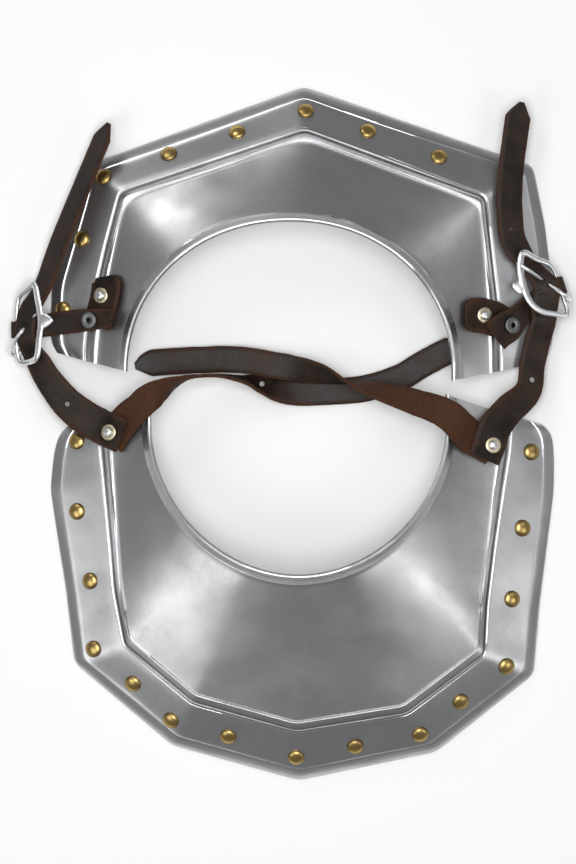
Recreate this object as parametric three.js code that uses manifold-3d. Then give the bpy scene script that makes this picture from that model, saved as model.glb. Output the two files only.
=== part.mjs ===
// Steel gorget lying open: back plate behind (+Y), front plate in front (-Y), joined by two buckled side straps.
// Millimetres, +Z up. The plates' outer edges rest on z = 0.

import * as THREE from 'three';
import { mergeVertices } from 'three/addons/utils/BufferGeometryUtils.js';
import Module from 'manifold-3d';

const wasm = await Module();
wasm.setup();

// Driving dimensions
const SHEET = 1.4;             // steel sheet thickness
const GAP = 0.35;              // air between pieces that touch
const FOLD_SHARE = 0.42;       // height of the outer band's fold, as a share of the crease's height
const BAND = 8.5;              // width of the turned-down outer band
const STATION_ARC = 8.8;       // degrees of neck arc between two sections of a plate
const STATION_RUN = 34;        // longest stretch of outer edge between two sections

const STRAP_THICK = 2.0;       // side and inner straps
const TAB_THICK = 1.5;         // hanger tabs and chapes
const SEAT_SAMPLES = 8;        // spots sampled round a rivet's seat
const SEAT_RADIUS = 4.4;       // under a brass rivet
const WIDE_SEAT = 8;           // under a strap rivet, where leather lies between
const SKY = 200;               // a height above everything
const FOLD_RADIUS = 2.65;      // middle of the chape's leather round the heel bar
const FOLD_TURNS = [0, 45, 90, 135, 180];

// Brass rivets, strap rivets with washers, eyelets and punched holes
const BRASS = { head: 5.1, crown: 2.35, shank: 1.5, tail: 2.5, sides: 7 };
const STUD = { head: 2.8, crown: 1.7, shank: 1.3, tail: 2.3, sides: 7 };
const WASHER = { inner: 1.7, outer: 4.9, thick: 0.9 };
const EYELET_PROFILE = [
  [2.3, 3.5], [5.2, 3.5], [4.6, 4.4], [2.3, 4.4], [1.6, 3.7], [1.6, -2.2], [2.3, -2.2], [2.3, 3.5],
];
const RIVET_HOLE = 2.15;       // six-sided holes
const STUD_HOLE = 2.0;
const EYELET_HOLE = 3.1;
const PUNCH_RADIUS = 1.5;

const RIBBON_CORNERS = [[-1, -1], [1, -1], [1, 1], [-1, 1]];

// The neck rim of each plate: a superellipse, closed off by straight legs past its middle
const FRONT_NECK = { x: 5.1, y: 5.1, rx: 87.6, ry: 88.5, power: 1.93 };
const BACK_NECK = { x: -0.3, y: 36.9, rx: 96.6, ry: 88.8, power: 2.06 };

// Section stations of the front plate, from its right end round the front to its left end.
// neck: angle on the neck rim; crease and edge: plan places of the crease and of the outer edge;
// rimZ and creaseZ: heights of the neck rim and of the crease.
const FRONT_ROWS = [
  { neck: 12, creaseX: 131.5, creaseY: 10.5, edgeX: 151.0, edgeY: 5.5, rimZ: 30, creaseZ: 10 },
  { neck: 9, creaseX: 131.5, creaseY: 5.5, edgeX: 155.0, edgeY: 2.5, rimZ: 30.5, creaseZ: 10 },
  { neck: 5, creaseX: 131.5, creaseY: -0.5, edgeX: 157.5, edgeY: -3.0, rimZ: 31, creaseZ: 10.5 },
  { neck: -5, creaseX: 130.8, creaseY: -11.0, edgeX: 158.4, edgeY: -16.0, rimZ: 33, creaseZ: 11 },
  { neck: -15.5, creaseX: 127.5, creaseY: -32.0, edgeX: 158.1, edgeY: -35.0, rimZ: 37, creaseZ: 12 },
  { neck: -29.5, creaseX: 122.4, creaseY: -67.0, edgeX: 154.2, edgeY: -67.0, rimZ: 43, creaseZ: 13.5 },
  { neck: -41, creaseX: 118.0, creaseY: -103.0, edgeX: 149.7, edgeY: -103.0, rimZ: 49, creaseZ: 14.5 },
  { neck: -50.5, creaseX: 116.4, creaseY: -132.5, edgeX: 146.1, edgeY: -144.5, rimZ: 54, creaseZ: 15.5 },
  { neck: -69.5, creaseX: 69.6, creaseY: -167.5, edgeX: 87.6, edgeY: -191.0, rimZ: 61, creaseZ: 17.5 },
  { neck: -91, creaseX: 3.6, creaseY: -178.0, edgeX: 5.4, edgeY: -208.0, rimZ: 64, creaseZ: 19 },
  { neck: -111, creaseX: -58.2, creaseY: -161.0, edgeX: -70.5, edgeY: -187.0, rimZ: 61, creaseZ: 17.5 },
  { neck: -130.5, creaseX: -99.0, creaseY: -127.0, edgeX: -129.3, edgeY: -137.5, rimZ: 54, creaseZ: 15.5 },
  { neck: -141, creaseX: -105.2, creaseY: -94.0, edgeX: -134.4, edgeY: -94.0, rimZ: 49, creaseZ: 14.5 },
  { neck: -152, creaseX: -108.0, creaseY: -62.0, edgeX: -139.5, edgeY: -62.0, rimZ: 43, creaseZ: 13.5 },
  { neck: -165, creaseX: -111.3, creaseY: -28.0, edgeX: -143.7, edgeY: -33.0, rimZ: 37, creaseZ: 12 },
  { neck: -173, creaseX: -112.8, creaseY: -13.0, edgeX: -141.9, edgeY: -14.0, rimZ: 33, creaseZ: 11 },
  { neck: -180, creaseX: -113.2, creaseY: -4.0, edgeX: -139.8, edgeY: -4.5, rimZ: 31, creaseZ: 10.5 },
  { neck: -184, creaseX: -113.4, creaseY: 2.0, edgeX: -136.8, edgeY: 1.5, rimZ: 30.5, creaseZ: 10 },
  { neck: -187, creaseX: -113.4, creaseY: 8.0, edgeX: -132.6, edgeY: 5.0, rimZ: 30, creaseZ: 10 },
];

// Section stations of the back plate, from its left end over the top to its right end
const BACK_ROWS = [
  { neck: 180, creaseX: -122.4, creaseY: 43.5, edgeX: -139.8, edgeY: 48.5, rimZ: 30, creaseZ: 10 },
  { neck: 176, creaseX: -122.7, creaseY: 50.0, edgeX: -143.4, edgeY: 55.0, rimZ: 31, creaseZ: 10 },
  { neck: 168, creaseX: -121.2, creaseY: 65.0, edgeX: -143.7, edgeY: 71.0, rimZ: 33, creaseZ: 11 },
  { neck: 158, creaseX: -116.4, creaseY: 86.0, edgeX: -142.8, edgeY: 89.0, rimZ: 37, creaseZ: 12 },
  { neck: 147, creaseX: -111.0, creaseY: 110.0, edgeX: -136.2, edgeY: 112.0, rimZ: 41, creaseZ: 13 },
  { neck: 133, creaseX: -101.7, creaseY: 145.0, edgeX: -121.8, edgeY: 161.0, rimZ: 46, creaseZ: 14.5 },
  { neck: 87, creaseX: 8.7, creaseY: 182.0, edgeX: 8.4, edgeY: 208.0, rimZ: 52, creaseZ: 17 },
  { neck: 41.5, creaseX: 117.0, creaseY: 142.0, edgeX: 145.8, edgeY: 160.5, rimZ: 46, creaseZ: 14.5 },
  { neck: 32, creaseX: 120.0, creaseY: 116.0, edgeX: 153.0, edgeY: 124.5, rimZ: 41, creaseZ: 13 },
  { neck: 18.5, creaseX: 124.2, creaseY: 80.0, edgeX: 157.8, edgeY: 86.0, rimZ: 37, creaseZ: 12 },
  { neck: 7.5, creaseX: 125.7, creaseY: 53.0, edgeX: 157.8, edgeY: 59.0, rimZ: 33, creaseZ: 11 },
  { neck: 3, creaseX: 126.0, creaseY: 45.5, edgeX: 156.6, edgeY: 50.0, rimZ: 31, creaseZ: 10 },
  { neck: -3.5, creaseX: 126.0, creaseY: 37.5, edgeX: 153.0, edgeY: 43.5, rimZ: 30, creaseZ: 10 },
];

// The outer face of a plate's section, from the neck to the outer edge.
// from: the line that run and rise are measured from; run: outward in plan; rise: upward,
// from the fold as a share of its height.
const PROFILE = [
  { from: 'neck', run: 0.0, rise: -1.7 },
  { from: 'neck', run: 0.8, rise: -0.3 },
  { from: 'neck', run: 2.4, rise: -0.2 },
  { from: 'neck', run: 3.3, rise: -1.5 },
  { from: 'neck', run: 3.6, rise: -3.0 },
  { from: 'neck', run: 6.4, rise: -7.6 },
  { from: 'neck', run: 9.0, rise: -9.4 },
  { from: 'crease', run: -8.0, rise: 5.0 },
  { from: 'crease', run: -5.2, rise: 4.7 },
  { from: 'crease', run: -3.2, rise: 3.2 },
  { from: 'crease', run: -1.2, rise: 0.5 },
  { from: 'crease', run: 0.4, rise: 0.0 },
  { from: 'crease', run: 2.0, rise: 0.3 },
  { from: 'fold', run: 0.0, rise: 0.0 },
  { from: 'fold', run: 2.6, rise: -0.14 },
  { from: 'fold', run: 6.4, rise: -0.54 },
  { from: 'edge', run: 0.0, rise: 1.0 },
  { from: 'edge', run: 0.0, rise: 0.0 },
];
const ROLL_POINTS = 4;         // points of the profile that belong to the solid neck roll

// Brass rivets round the borders, front from right to left, back from left to right
const FRONT_RIVETS = [
  { x: 144.6, y: -11.1 },
  { x: 139.2, y: -56.7 },
  { x: 132.9, y: -99.1 },
  { x: 129.6, y: -139.4 },
  { x: 102.2, y: -160.5 },
  { x: 78, y: -180.2 },
  { x: 39.1, y: -187.3 },
  { x: 3.6, y: -193.9 },
  { x: -37, y: -181.3 },
  { x: -71.4, y: -171.7 },
  { x: -94.1, y: -149.7 },
  { x: -117.7, y: -129.1 },
  { x: -119.7, y: -88.3 },
  { x: -127.6, y: -46.7 },
  { x: -127.7, y: -4.6 },
];
const BACK_RIVETS = [
  { x: -135.9, y: 74.1 },
  { x: -124.6, y: 116.5 },
  { x: -111.6, y: 153.6 },
  { x: -72.6, y: 167.3 },
  { x: -31.7, y: 180.4 },
  { x: 9.4, y: 193.1 },
  { x: 46.7, y: 181.1 },
  { x: 89.2, y: 165.5 },
  { x: 129, y: 153.9 },
  { x: 133.2, y: 116.1 },
  { x: 150, y: 74.1 },
];

// Leather rows, along the middle of each strap. across: plan angle of the width, degrees; lean: its rise, degrees;
// cuts: sections up to the next row

// Right side strap: riveted end, buckle, free end
const SIDE_RIGHT = [
  { x: 115.8, y: -15.0, z: 25.0, across: 157, lean: 20, width: 20.5, cuts: 1 },
  { x: 118.8, y: -7.2, z: 23.4, across: 160, lean: 20, width: 21, cuts: 2 },
  { x: 122.1, y: 2.7, z: 22.2, across: 150, lean: 18, width: 20.5, cuts: 2 },
  { x: 130.2, y: 13.5, z: 17.9, across: 138, lean: 20, width: 19.5, cuts: 2 },
  { x: 139.2, y: 21.3, z: 13.8, across: 142, lean: 12, width: 17, cuts: 2 },
  { x: 143.7, y: 28.5, z: 11, across: 164, lean: 14, width: 16, cuts: 2 },
  { x: 144.9, y: 39.9, z: 9.4, across: 173, lean: 18, width: 16, cuts: 2 },
  { x: 148.2, y: 54.3, z: 9.6, across: 168, lean: 18, width: 16, cuts: 2 },
  { x: 151.8, y: 66.9, z: 12.9, across: 172, lean: 15, width: 15, cuts: 2 },
  { x: 152.1, y: 73.5, z: 12.2, across: 178, lean: 11, width: 16, cuts: 1 },
  { x: 153.0, y: 80.1, z: 13.5, across: 172, lean: 6, width: 16, cuts: 2 },
  { x: 153.6, y: 87.3, z: 14.9, across: 188, lean: 2, width: 16, cuts: 2 },
  { x: 148.8, y: 94.5, z: 13.9, across: 218, lean: 14, width: 12, cuts: 2 },
  { x: 143.4, y: 101.1, z: 12.4, across: 224, lean: 26, width: 12, cuts: 2 },
  { x: 137.4, y: 108.9, z: 12.8, across: 210, lean: 18, width: 15, cuts: 2 },
  { x: 133.2, y: 117.3, z: 14.9, across: 195, lean: 18, width: 16, cuts: 2 },
  { x: 132.0, y: 126.9, z: 14.8, across: 183, lean: 19, width: 16, cuts: 2 },
  { x: 131.4, y: 143.1, z: 14.2, across: 179, lean: 20, width: 16, cuts: 2 },
  { x: 132.6, y: 161.1, z: 13.6, across: 176, lean: 20, width: 16, cuts: 2 },
  { x: 134.7, y: 177.3, z: 13.4, across: 170, lean: 20, width: 16, cuts: 2 },
  { x: 136.5, y: 189.3, z: 13.6, across: 164, lean: 18, width: 16, cuts: 1 },
  { x: 138.9, y: 198.3, z: 14, across: 164, lean: 16, width: 3, cuts: 1 },
];

// Left side strap: riveted end, buckle, free end
const SIDE_LEFT = [
  { x: -100.5, y: -1.8, z: 24.9, across: 258, lean: -8, width: 20.5, cuts: 1 },
  { x: -104.6, y: 0.3, z: 22.8, across: 252, lean: -8, width: 21, cuts: 2 },
  { x: -114.0, y: 4.8, z: 17.6, across: 242, lean: -10, width: 21, cuts: 2 },
  { x: -124.8, y: 11.1, z: 15.0, across: 237, lean: -8, width: 20.5, cuts: 2 },
  { x: -135.6, y: 20.7, z: 12.6, across: 222, lean: -10, width: 18.5, cuts: 2 },
  { x: -145.2, y: 33.3, z: 11, across: 212, lean: -18, width: 16.5, cuts: 2 },
  { x: -150.0, y: 41.7, z: 9.6, across: 202, lean: -26, width: 16, cuts: 2 },
  { x: -153.6, y: 47.7, z: 9.2, across: 208, lean: -28, width: 14, cuts: 1 },
  { x: -157.8, y: 55.5, z: 13.0, across: 195, lean: -25, width: 11.5, cuts: 2 },
  { x: -158.4, y: 64.5, z: 14.2, across: 172, lean: -22, width: 12.5, cuts: 2 },
  { x: -156.0, y: 74.1, z: 11.8, across: 145, lean: -34, width: 13, cuts: 2 },
  { x: -151.2, y: 81.9, z: 8.8, across: 140, lean: -42, width: 14, cuts: 1 },
  { x: -146.4, y: 91.5, z: 9.5, across: 152, lean: -45, width: 15, cuts: 2 },
  { x: -138.0, y: 114.3, z: 14.0, across: 158, lean: -46, width: 16, cuts: 2 },
  { x: -126.6, y: 142.5, z: 13.4, across: 157, lean: -48, width: 16, cuts: 2 },
  { x: -117.0, y: 165.9, z: 12.9, across: 159, lean: -50, width: 16, cuts: 2 },
  { x: -112.5, y: 176.7, z: 13.2, across: 158, lean: -50, width: 16, cuts: 1 },
  { x: -108.3, y: 185.7, z: 13.6, across: 156, lean: -50, width: 3, cuts: 1 },
];

// Inner strap riveted at the right: over the neck rim and across the opening, turned over midway
const INNER_RIGHT = [
  { x: 122.4, y: -10.5, z: 19.2, across: 240, lean: 11, width: 20, cuts: 1 },
  { x: 118.8, y: -7.5, z: 20.4, across: 242, lean: 11, width: 21, cuts: 2 },
  { x: 108.6, y: -2.1, z: 24.4, across: 236, lean: 16, width: 20.5, cuts: 2 },
  { x: 102.0, y: 3.9, z: 31.2, across: 230, lean: 16, width: 19.5, cuts: 2 },
  { x: 95.4, y: 10.2, z: 35.0, across: 233, lean: 8, width: 18.5, cuts: 2 },
  { x: 88.2, y: 14.1, z: 33, across: 242, lean: 5, width: 17.5, cuts: 2 },
  { x: 81.6, y: 16.5, z: 29, across: 246, lean: 8, width: 16.5, cuts: 2 },
  { x: 67.7, y: 21.1, z: 22.5, across: 252, lean: 30, width: 16, cuts: 2 },
  { x: 46.8, y: 27.3, z: 16.5, across: 253, lean: 60, width: 16, cuts: 2 },
  { x: 33.0, y: 31.5, z: 13.2, across: 253, lean: 95, width: 16, cuts: 2 },
  { x: 19.2, y: 35.7, z: 9.9, across: 253, lean: 132, width: 16, cuts: 2 },
  { x: 6.0, y: 38.1, z: 7.4, across: 257, lean: 160, width: 16, cuts: 2 },
  { x: -7.2, y: 40.5, z: 6.4, across: 259, lean: 176, width: 16, cuts: 2 },
  { x: -29.1, y: 44.1, z: 4.6, across: 264, lean: 180, width: 16, cuts: 2 },
  { x: -53.4, y: 44.1, z: 2.6, across: 271, lean: 180, width: 16, cuts: 2 },
  { x: -82.8, y: 42.3, z: 1.9, across: 277, lean: 180, width: 16, cuts: 1 },
  { x: -93.0, y: 40.5, z: 1.9, across: 280, lean: 180, width: 4, cuts: 1 },
];

// Inner strap riveted at the left: over the neck rim, on edge, then under the other and the back plate
const INNER_LEFT = [
  { x: -108.3, y: -5.7, z: 17.6, across: 148, lean: -22, width: 20.5, cuts: 1 },
  { x: -104.6, y: 0.3, z: 18.9, across: 148, lean: -22, width: 21, cuts: 2 },
  { x: -98.4, y: 8.1, z: 22.4, across: 143, lean: -29, width: 20, cuts: 2 },
  { x: -91.8, y: 14.4, z: 28.4, across: 140, lean: -30, width: 18.5, cuts: 2 },
  { x: -85.2, y: 20.4, z: 31, across: 132, lean: -5, width: 17, cuts: 2 },
  { x: -76.8, y: 25.8, z: 29, across: 124, lean: 40, width: 16, cuts: 2 },
  { x: -67.2, y: 30.6, z: 25, across: 116, lean: 75, width: 16, cuts: 2 },
  { x: -57.0, y: 33.9, z: 20.5, across: 104, lean: 90, width: 16, cuts: 1 },
  { x: -43.2, y: 34.5, z: 15.4, across: 92, lean: 92, width: 16, cuts: 2 },
  { x: -28.2, y: 32.1, z: 11.2, across: 80, lean: 102, width: 16, cuts: 2 },
  { x: -16.8, y: 29.1, z: 7.8, across: 74, lean: 130, width: 16, cuts: 2 },
  { x: -6.0, y: 26.1, z: 4.4, across: 76, lean: 158, width: 16, cuts: 2 },
  { x: 6.0, y: 24.6, z: 2.2, across: 84, lean: 175, width: 16, cuts: 2 },
  { x: 25.2, y: 25.2, z: 1.8, across: 92, lean: 180, width: 16, cuts: 2 },
  { x: 46.2, y: 27.3, z: 1.9, across: 102, lean: 180, width: 16, cuts: 2 },
  { x: 66.0, y: 33.6, z: 2.6, across: 118, lean: 180, width: 16, cuts: 2 },
  { x: 80.7, y: 42.3, z: 4, across: 120, lean: 180, width: 16, cuts: 2 },
  { x: 96.0, y: 50.1, z: 5.5, across: 117, lean: 180, width: 16, cuts: 1 },
  { x: 105.6, y: 54.9, z: 6.5, across: 117, lean: 180, width: 4, cuts: 1 },
];

// Chamfered tabs riveted to the back plate
const HANGER_RIGHT = [
  { x: 104.8, y: 70.5, z: 28.2, across: 90, lean: -3, width: 13, cuts: 1 },
  { x: 108.6, y: 70.5, z: 26.0, across: 88, lean: -2, width: 20.5, cuts: 1 },
  { x: 114.0, y: 70.6, z: 22.4, across: 82, lean: -4, width: 21, cuts: 1 },
  { x: 123.0, y: 68.1, z: 17.8, across: 72, lean: -4, width: 21, cuts: 1 },
  { x: 131.4, y: 64.5, z: 12.8, across: 68, lean: -6, width: 18, cuts: 1 },
  { x: 133.8, y: 63.5, z: 12.2, across: 68, lean: -6, width: 13, cuts: 1 },
];

const HANGER_LEFT = [
  { x: -110.1, y: 93.9, z: 18.7, across: -12, lean: 32, width: 14, cuts: 1 },
  { x: -109.8, y: 89.7, z: 19.5, across: -12, lean: 33, width: 20.5, cuts: 1 },
  { x: -110.7, y: 82.5, z: 19.7, across: -13, lean: 33, width: 20.5, cuts: 1 },
  { x: -112.8, y: 74.1, z: 19.3, across: -15, lean: 33, width: 20, cuts: 1 },
  { x: -115.5, y: 64.5, z: 18.0, across: -17, lean: 32, width: 20, cuts: 1 },
];

// Chapes: rows of the layer that ends on top, the heel bar that they fold round, rows of the layer below
const CHAPE_RIGHT = {
  upper: [
    { x: 122.7, y: 57.3, z: 22.4, across: 140, lean: 25, width: 19, cuts: 1 },
    { x: 126.6, y: 61.5, z: 20.3, across: 138, lean: 23, width: 20, cuts: 1 },
    { x: 131.4, y: 64.8, z: 17.9, across: 134, lean: 22, width: 20, cuts: 1 },
    { x: 138.0, y: 70.8, z: 14.8, across: 132, lean: 16, width: 14, cuts: 1 },
    { x: 143.4, y: 75.6, z: 11.5, across: 130, lean: 8, width: 14, cuts: 1 },
    { x: 149.4, y: 80.4, z: 10.3, across: 126, lean: 4, width: 13, cuts: 1 },
    { x: 156.0, y: 85.8, z: 11.3, across: 116, lean: 2, width: 11, cuts: 1 },
  ],
  heel: { x: 161.4, y: 88.5, z: 9.3, barX: -15.5, barY: 48, barZ: 0, hand: 1, width: 10.5 },
  lower: [
    { x: 156.0, y: 85.8, z: 7.2, across: 116, lean: 2, width: 11, cuts: 1 },
    { x: 149.4, y: 80.4, z: 8.6, across: 126, lean: 4, width: 13, cuts: 1 },
    { x: 143.4, y: 75.6, z: 9.6, across: 130, lean: 8, width: 14, cuts: 1 },
    { x: 138.0, y: 70.8, z: 12.9, across: 132, lean: 16, width: 14, cuts: 1 },
    { x: 131.4, y: 64.8, z: 15.95, across: 134, lean: 22, width: 20, cuts: 1 },
    { x: 126.6, y: 61.5, z: 18.35, across: 138, lean: 23, width: 20, cuts: 1 },
  ],
};
const CHAPE_LEFT = {
  upper: [
    { x: -106.8, y: 69.1, z: 28.4, across: 258, lean: -4, width: 11, cuts: 1 },
    { x: -111.6, y: 68.5, z: 25.4, across: 260, lean: -6, width: 12, cuts: 1 },
    { x: -118.8, y: 68.1, z: 21.1, across: 263, lean: -10, width: 13, cuts: 1 },
    { x: -128.4, y: 67.2, z: 15.3, across: 266, lean: -14, width: 14, cuts: 2 },
    { x: -140.4, y: 65.7, z: 10.3, across: 268, lean: -14, width: 14, cuts: 2 },
    { x: -151.2, y: 63.9, z: 8.3, across: 270, lean: -8, width: 13, cuts: 1 },
    { x: -158.4, y: 62.7, z: 8.5, across: 270, lean: 0, width: 12, cuts: 1 },
  ],
  heel: { x: -163.8, y: 62.1, z: 6.0, barX: 0, barY: 60, barZ: 0, hand: -1, width: 10 },
  lower: [
    { x: -158.4, y: 62.7, z: 3.5, across: 270, lean: 0, width: 12, cuts: 1 },
    { x: -151.2, y: 63.9, z: 4.2, across: 270, lean: -8, width: 13, cuts: 2 },
    { x: -140.4, y: 65.7, z: 7.5, across: 268, lean: -14, width: 14, cuts: 2 },
    { x: -128.4, y: 67.2, z: 12.7, across: 266, lean: -14, width: 14, cuts: 1 },
    { x: -118.8, y: 68.1, z: 18.5, across: 263, lean: -10, width: 13, cuts: 1 },
    { x: -109.2, y: 68.8, z: 24.5, across: 259, lean: -5, width: 12, cuts: 1 },
  ],
};

// Buckle frames, round their closed paths; wide: in the frame's plane, thick: square to it

const FRAME_RIGHT = [
  { x: 139.8, y: 108.0, z: 17.4, wide: 4.2, thick: 2.4 },
  { x: 147.6, y: 104.3, z: 14.6, wide: 3.6, thick: 2.2 },
  { x: 155.7, y: 100.8, z: 11.4, wide: 3.2, thick: 2.4 },
  { x: 159.6, y: 93.9, z: 9.3, wide: 2.7, thick: 2.7 },
  { x: 161.4, y: 88.5, z: 9.3, wide: 2.7, thick: 2.7 },
  { x: 163.5, y: 81.9, z: 9.3, wide: 2.7, thick: 2.7 },
  { x: 166.2, y: 71.4, z: 11.8, wide: 3.2, thick: 2.4 },
  { x: 157.2, y: 71.7, z: 14.4, wide: 3.6, thick: 2.2 },
  { x: 149.1, y: 73.8, z: 16.4, wide: 4.2, thick: 2.4 },
  { x: 143.1, y: 79.8, z: 17.8, wide: 4.4, thick: 2.4 },
  { x: 139.2, y: 90.3, z: 18.8, wide: 4.8, thick: 2.4 },
  { x: 137.7, y: 101.1, z: 18.2, wide: 4.4, thick: 2.4 },
];

const FRAME_LEFT = [
  { x: -153.0, y: 89.1, z: 16.8, wide: 4.2, thick: 2.4 },
  { x: -157.8, y: 86.1, z: 12.2, wide: 3.6, thick: 2.2 },
  { x: -162.6, y: 81.3, z: 7.0, wide: 3.2, thick: 2.6 },
  { x: -163.8, y: 71.7, z: 6.0, wide: 2.7, thick: 2.7 },
  { x: -163.8, y: 62.1, z: 6.0, wide: 2.7, thick: 2.7 },
  { x: -163.8, y: 52.5, z: 6.0, wide: 2.7, thick: 2.7 },
  { x: -162.0, y: 43.2, z: 6.6, wide: 3.2, thick: 2.6 },
  { x: -156.3, y: 42.9, z: 11, wide: 3.6, thick: 2.2 },
  { x: -151.5, y: 45.9, z: 16.0, wide: 4.2, thick: 2.4 },
  { x: -150.3, y: 56.1, z: 17.4, wide: 4.4, thick: 2.4 },
  { x: -149.1, y: 68.1, z: 18, wide: 4.8, thick: 2.4 },
  { x: -150.9, y: 80.1, z: 17.6, wide: 4.4, thick: 2.4 },
];

// Rounded tabs of the front bars

const TAB_RIGHT = [
  { x: 139.8, y: 87.3, z: 18.8, wide: 10, thick: 2.2 },
  { x: 136.2, y: 88.1, z: 19.6, wide: 8, thick: 2.2 },
  { x: 132.9, y: 88.7, z: 20.4, wide: 3, thick: 1.6 },
];

const TAB_LEFT = [
  { x: -149.7, y: 67.5, z: 18, wide: 11, thick: 2.2 },
  { x: -145.8, y: 67.6, z: 20, wide: 8.5, thick: 2.2 },
  { x: -141.6, y: 67.7, z: 22, wide: 2.6, thick: 1.6 },
];

// Prongs: a loop round the heel bar, then across the frame

const PRONG_RIGHT = [
  { x: 161.7, y: 84.3, z: 7.0, wide: 2.0, thick: 2.0 },
  { x: 164.4, y: 82.2, z: 6.0, wide: 2.0, thick: 2.0 },
  { x: 166.8, y: 80.4, z: 8.0, wide: 2.0, thick: 2.0 },
  { x: 167.5, y: 79.9, z: 12, wide: 2.0, thick: 2.0 },
  { x: 166.5, y: 81.0, z: 16.4, wide: 2.2, thick: 2.2 },
  { x: 163.8, y: 82.8, z: 18.6, wide: 2.2, thick: 2.2 },
  { x: 160.2, y: 85.5, z: 17.8, wide: 2.2, thick: 2.2 },
  { x: 156.0, y: 88.5, z: 15, wide: 2.2, thick: 2.2 },
  { x: 152.1, y: 91.2, z: 13.6, wide: 2.2, thick: 2.2 },
  { x: 148.8, y: 93.3, z: 15.8, wide: 2.2, thick: 2.2 },
  { x: 144.0, y: 96.5, z: 20.6, wide: 2.2, thick: 2.2 },
  { x: 139.8, y: 99.3, z: 21.6, wide: 2.0, thick: 2.0 },
  { x: 137.1, y: 101.1, z: 21.4, wide: 1.5, thick: 1.5 },
];

const PRONG_LEFT = [
  { x: -151.9, y: 71.4, z: 17.8, wide: 1.4, thick: 1.4 },
  { x: -153.9, y: 68.7, z: 14.4, wide: 1.8, thick: 1.8 },
  { x: -156.3, y: 65.7, z: 12.4, wide: 2.2, thick: 2.2 },
  { x: -158.4, y: 63.3, z: 13.6, wide: 2.2, thick: 2.2 },
  { x: -160.5, y: 60.9, z: 16.0, wide: 2.2, thick: 2.2 },
  { x: -163.2, y: 57.3, z: 14.4, wide: 2.2, thick: 2.2 },
  { x: -165.9, y: 53.1, z: 10.4, wide: 2.2, thick: 2.2 },
  { x: -167.6, y: 49.8, z: 6.4, wide: 2.2, thick: 2.2 },
  { x: -167.2, y: 47.7, z: 3.3, wide: 2.2, thick: 2.2 },
  { x: -165.0, y: 46.8, z: 2.2, wide: 2.0, thick: 2.0 },
  { x: -162.6, y: 47.7, z: 2.5, wide: 2.0, thick: 2.0 },
  { x: -160.7, y: 49.5, z: 5.4, wide: 2.0, thick: 2.0 },
  { x: -161.6, y: 51.4, z: 8.3, wide: 2.0, thick: 2.0 },
  { x: -162.8, y: 52.0, z: 9.8, wide: 1.8, thick: 1.8 },
];

// Strap rivets; stack: height of what they hold above the plate; through: the leather pieces
const STRAP_RIVETS = [
  { name: 'front_right', x: 118.8, y: -7.2, sheet: 'front', stack: 7.4,
    through: ['side_strap_right', 'inner_strap_right'] },
  { name: 'front_left', x: -104.6, y: 0.4, sheet: 'front', stack: 7.4,
    through: ['side_strap_left', 'inner_strap_left'] },
  { name: 'back_right', x: 114, y: 70.7, sheet: 'back', stack: 4.2,
    through: ['hanger_right'] },
  { name: 'back_left', x: -110.8, y: 82.3, sheet: 'back', stack: 3.6,
    through: ['hanger_left'] },
];

// Eyelets through the chapes and the tabs
const EYELETS = [
  { name: 'right', x: 131.4, y: 64.8, z: 15.95, across: 134, lean: 22, dive: -22,
    through: ['chape_right', 'hanger_right'] },
  { name: 'left', x: -118.8, y: 68.1, z: 19.15, across: 263, lean: -10, dive: -25,
    through: ['chape_left', 'hanger_left'] },
];

// Spare holes
const PUNCHED = [
  { piece: 'side_strap_right', x: 144.9, y: 32.1, z: 11.4 },
  { piece: 'side_strap_right', x: 132.6, y: 122.1, z: 14 },
  { piece: 'side_strap_left', x: -133.2, y: 17.7, z: 13 },
  { piece: 'inner_strap_left', x: -16.8, y: 29.7, z: 8.6 },
];

const TAU = Math.PI * 2;
const UP = new THREE.Vector3(0, 0, 1);

// Geometry helpers

function superellipse(neck, degrees) {
  const angle = THREE.MathUtils.degToRad(degrees);
  const c = Math.cos(angle);
  const s = Math.sin(angle);
  const outward = neck === FRONT_NECK ? -1 : 1;
  const pastMiddle = s * outward < 0;
  const x = pastMiddle ? Math.sign(c) : Math.sign(c) * Math.abs(c) ** (2 / neck.power);
  const y = pastMiddle ? s : Math.sign(s) * Math.abs(s) ** (2 / neck.power);
  return new THREE.Vector2(neck.x + neck.rx * x, neck.y + neck.ry * y);
}

function mixRows(rows, t) {
  const i = Math.min(Math.floor(t), rows.length - 2);
  const mixed = {};
  for (const key of Object.keys(rows[0])) {
    mixed[key] = THREE.MathUtils.lerp(rows[i][key], rows[i + 1][key], t - i);
  }
  return mixed;
}

// Even steps between the rows, fine enough for the neck's arc and the outer edge
function stationSteps(rows) {
  const steps = [];
  for (let i = 0; i + 1 < rows.length; i += 1) {
    const arc = Math.abs(rows[i + 1].neck - rows[i].neck);
    const run = Math.hypot(rows[i + 1].edgeX - rows[i].edgeX, rows[i + 1].edgeY - rows[i].edgeY);
    const parts = Math.max(1, Math.round(arc / STATION_ARC), Math.ceil(run / STATION_RUN));
    for (let k = 0; k < parts; k += 1) steps.push(i + k / parts);
  }
  steps.push(rows.length - 1);
  return steps;
}

// Shifts each point of an open line to its right-hand side by a distance
function offsetLine(line, distance) {
  return line.map((point, i) => {
    const before = line[Math.max(i - 1, 0)];
    const after = line[Math.min(i + 1, line.length - 1)];
    const normal = new THREE.Vector2(after.y - before.y, before.x - after.x).normalize();
    return point.clone().addScaledVector(normal, distance);
  });
}

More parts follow.
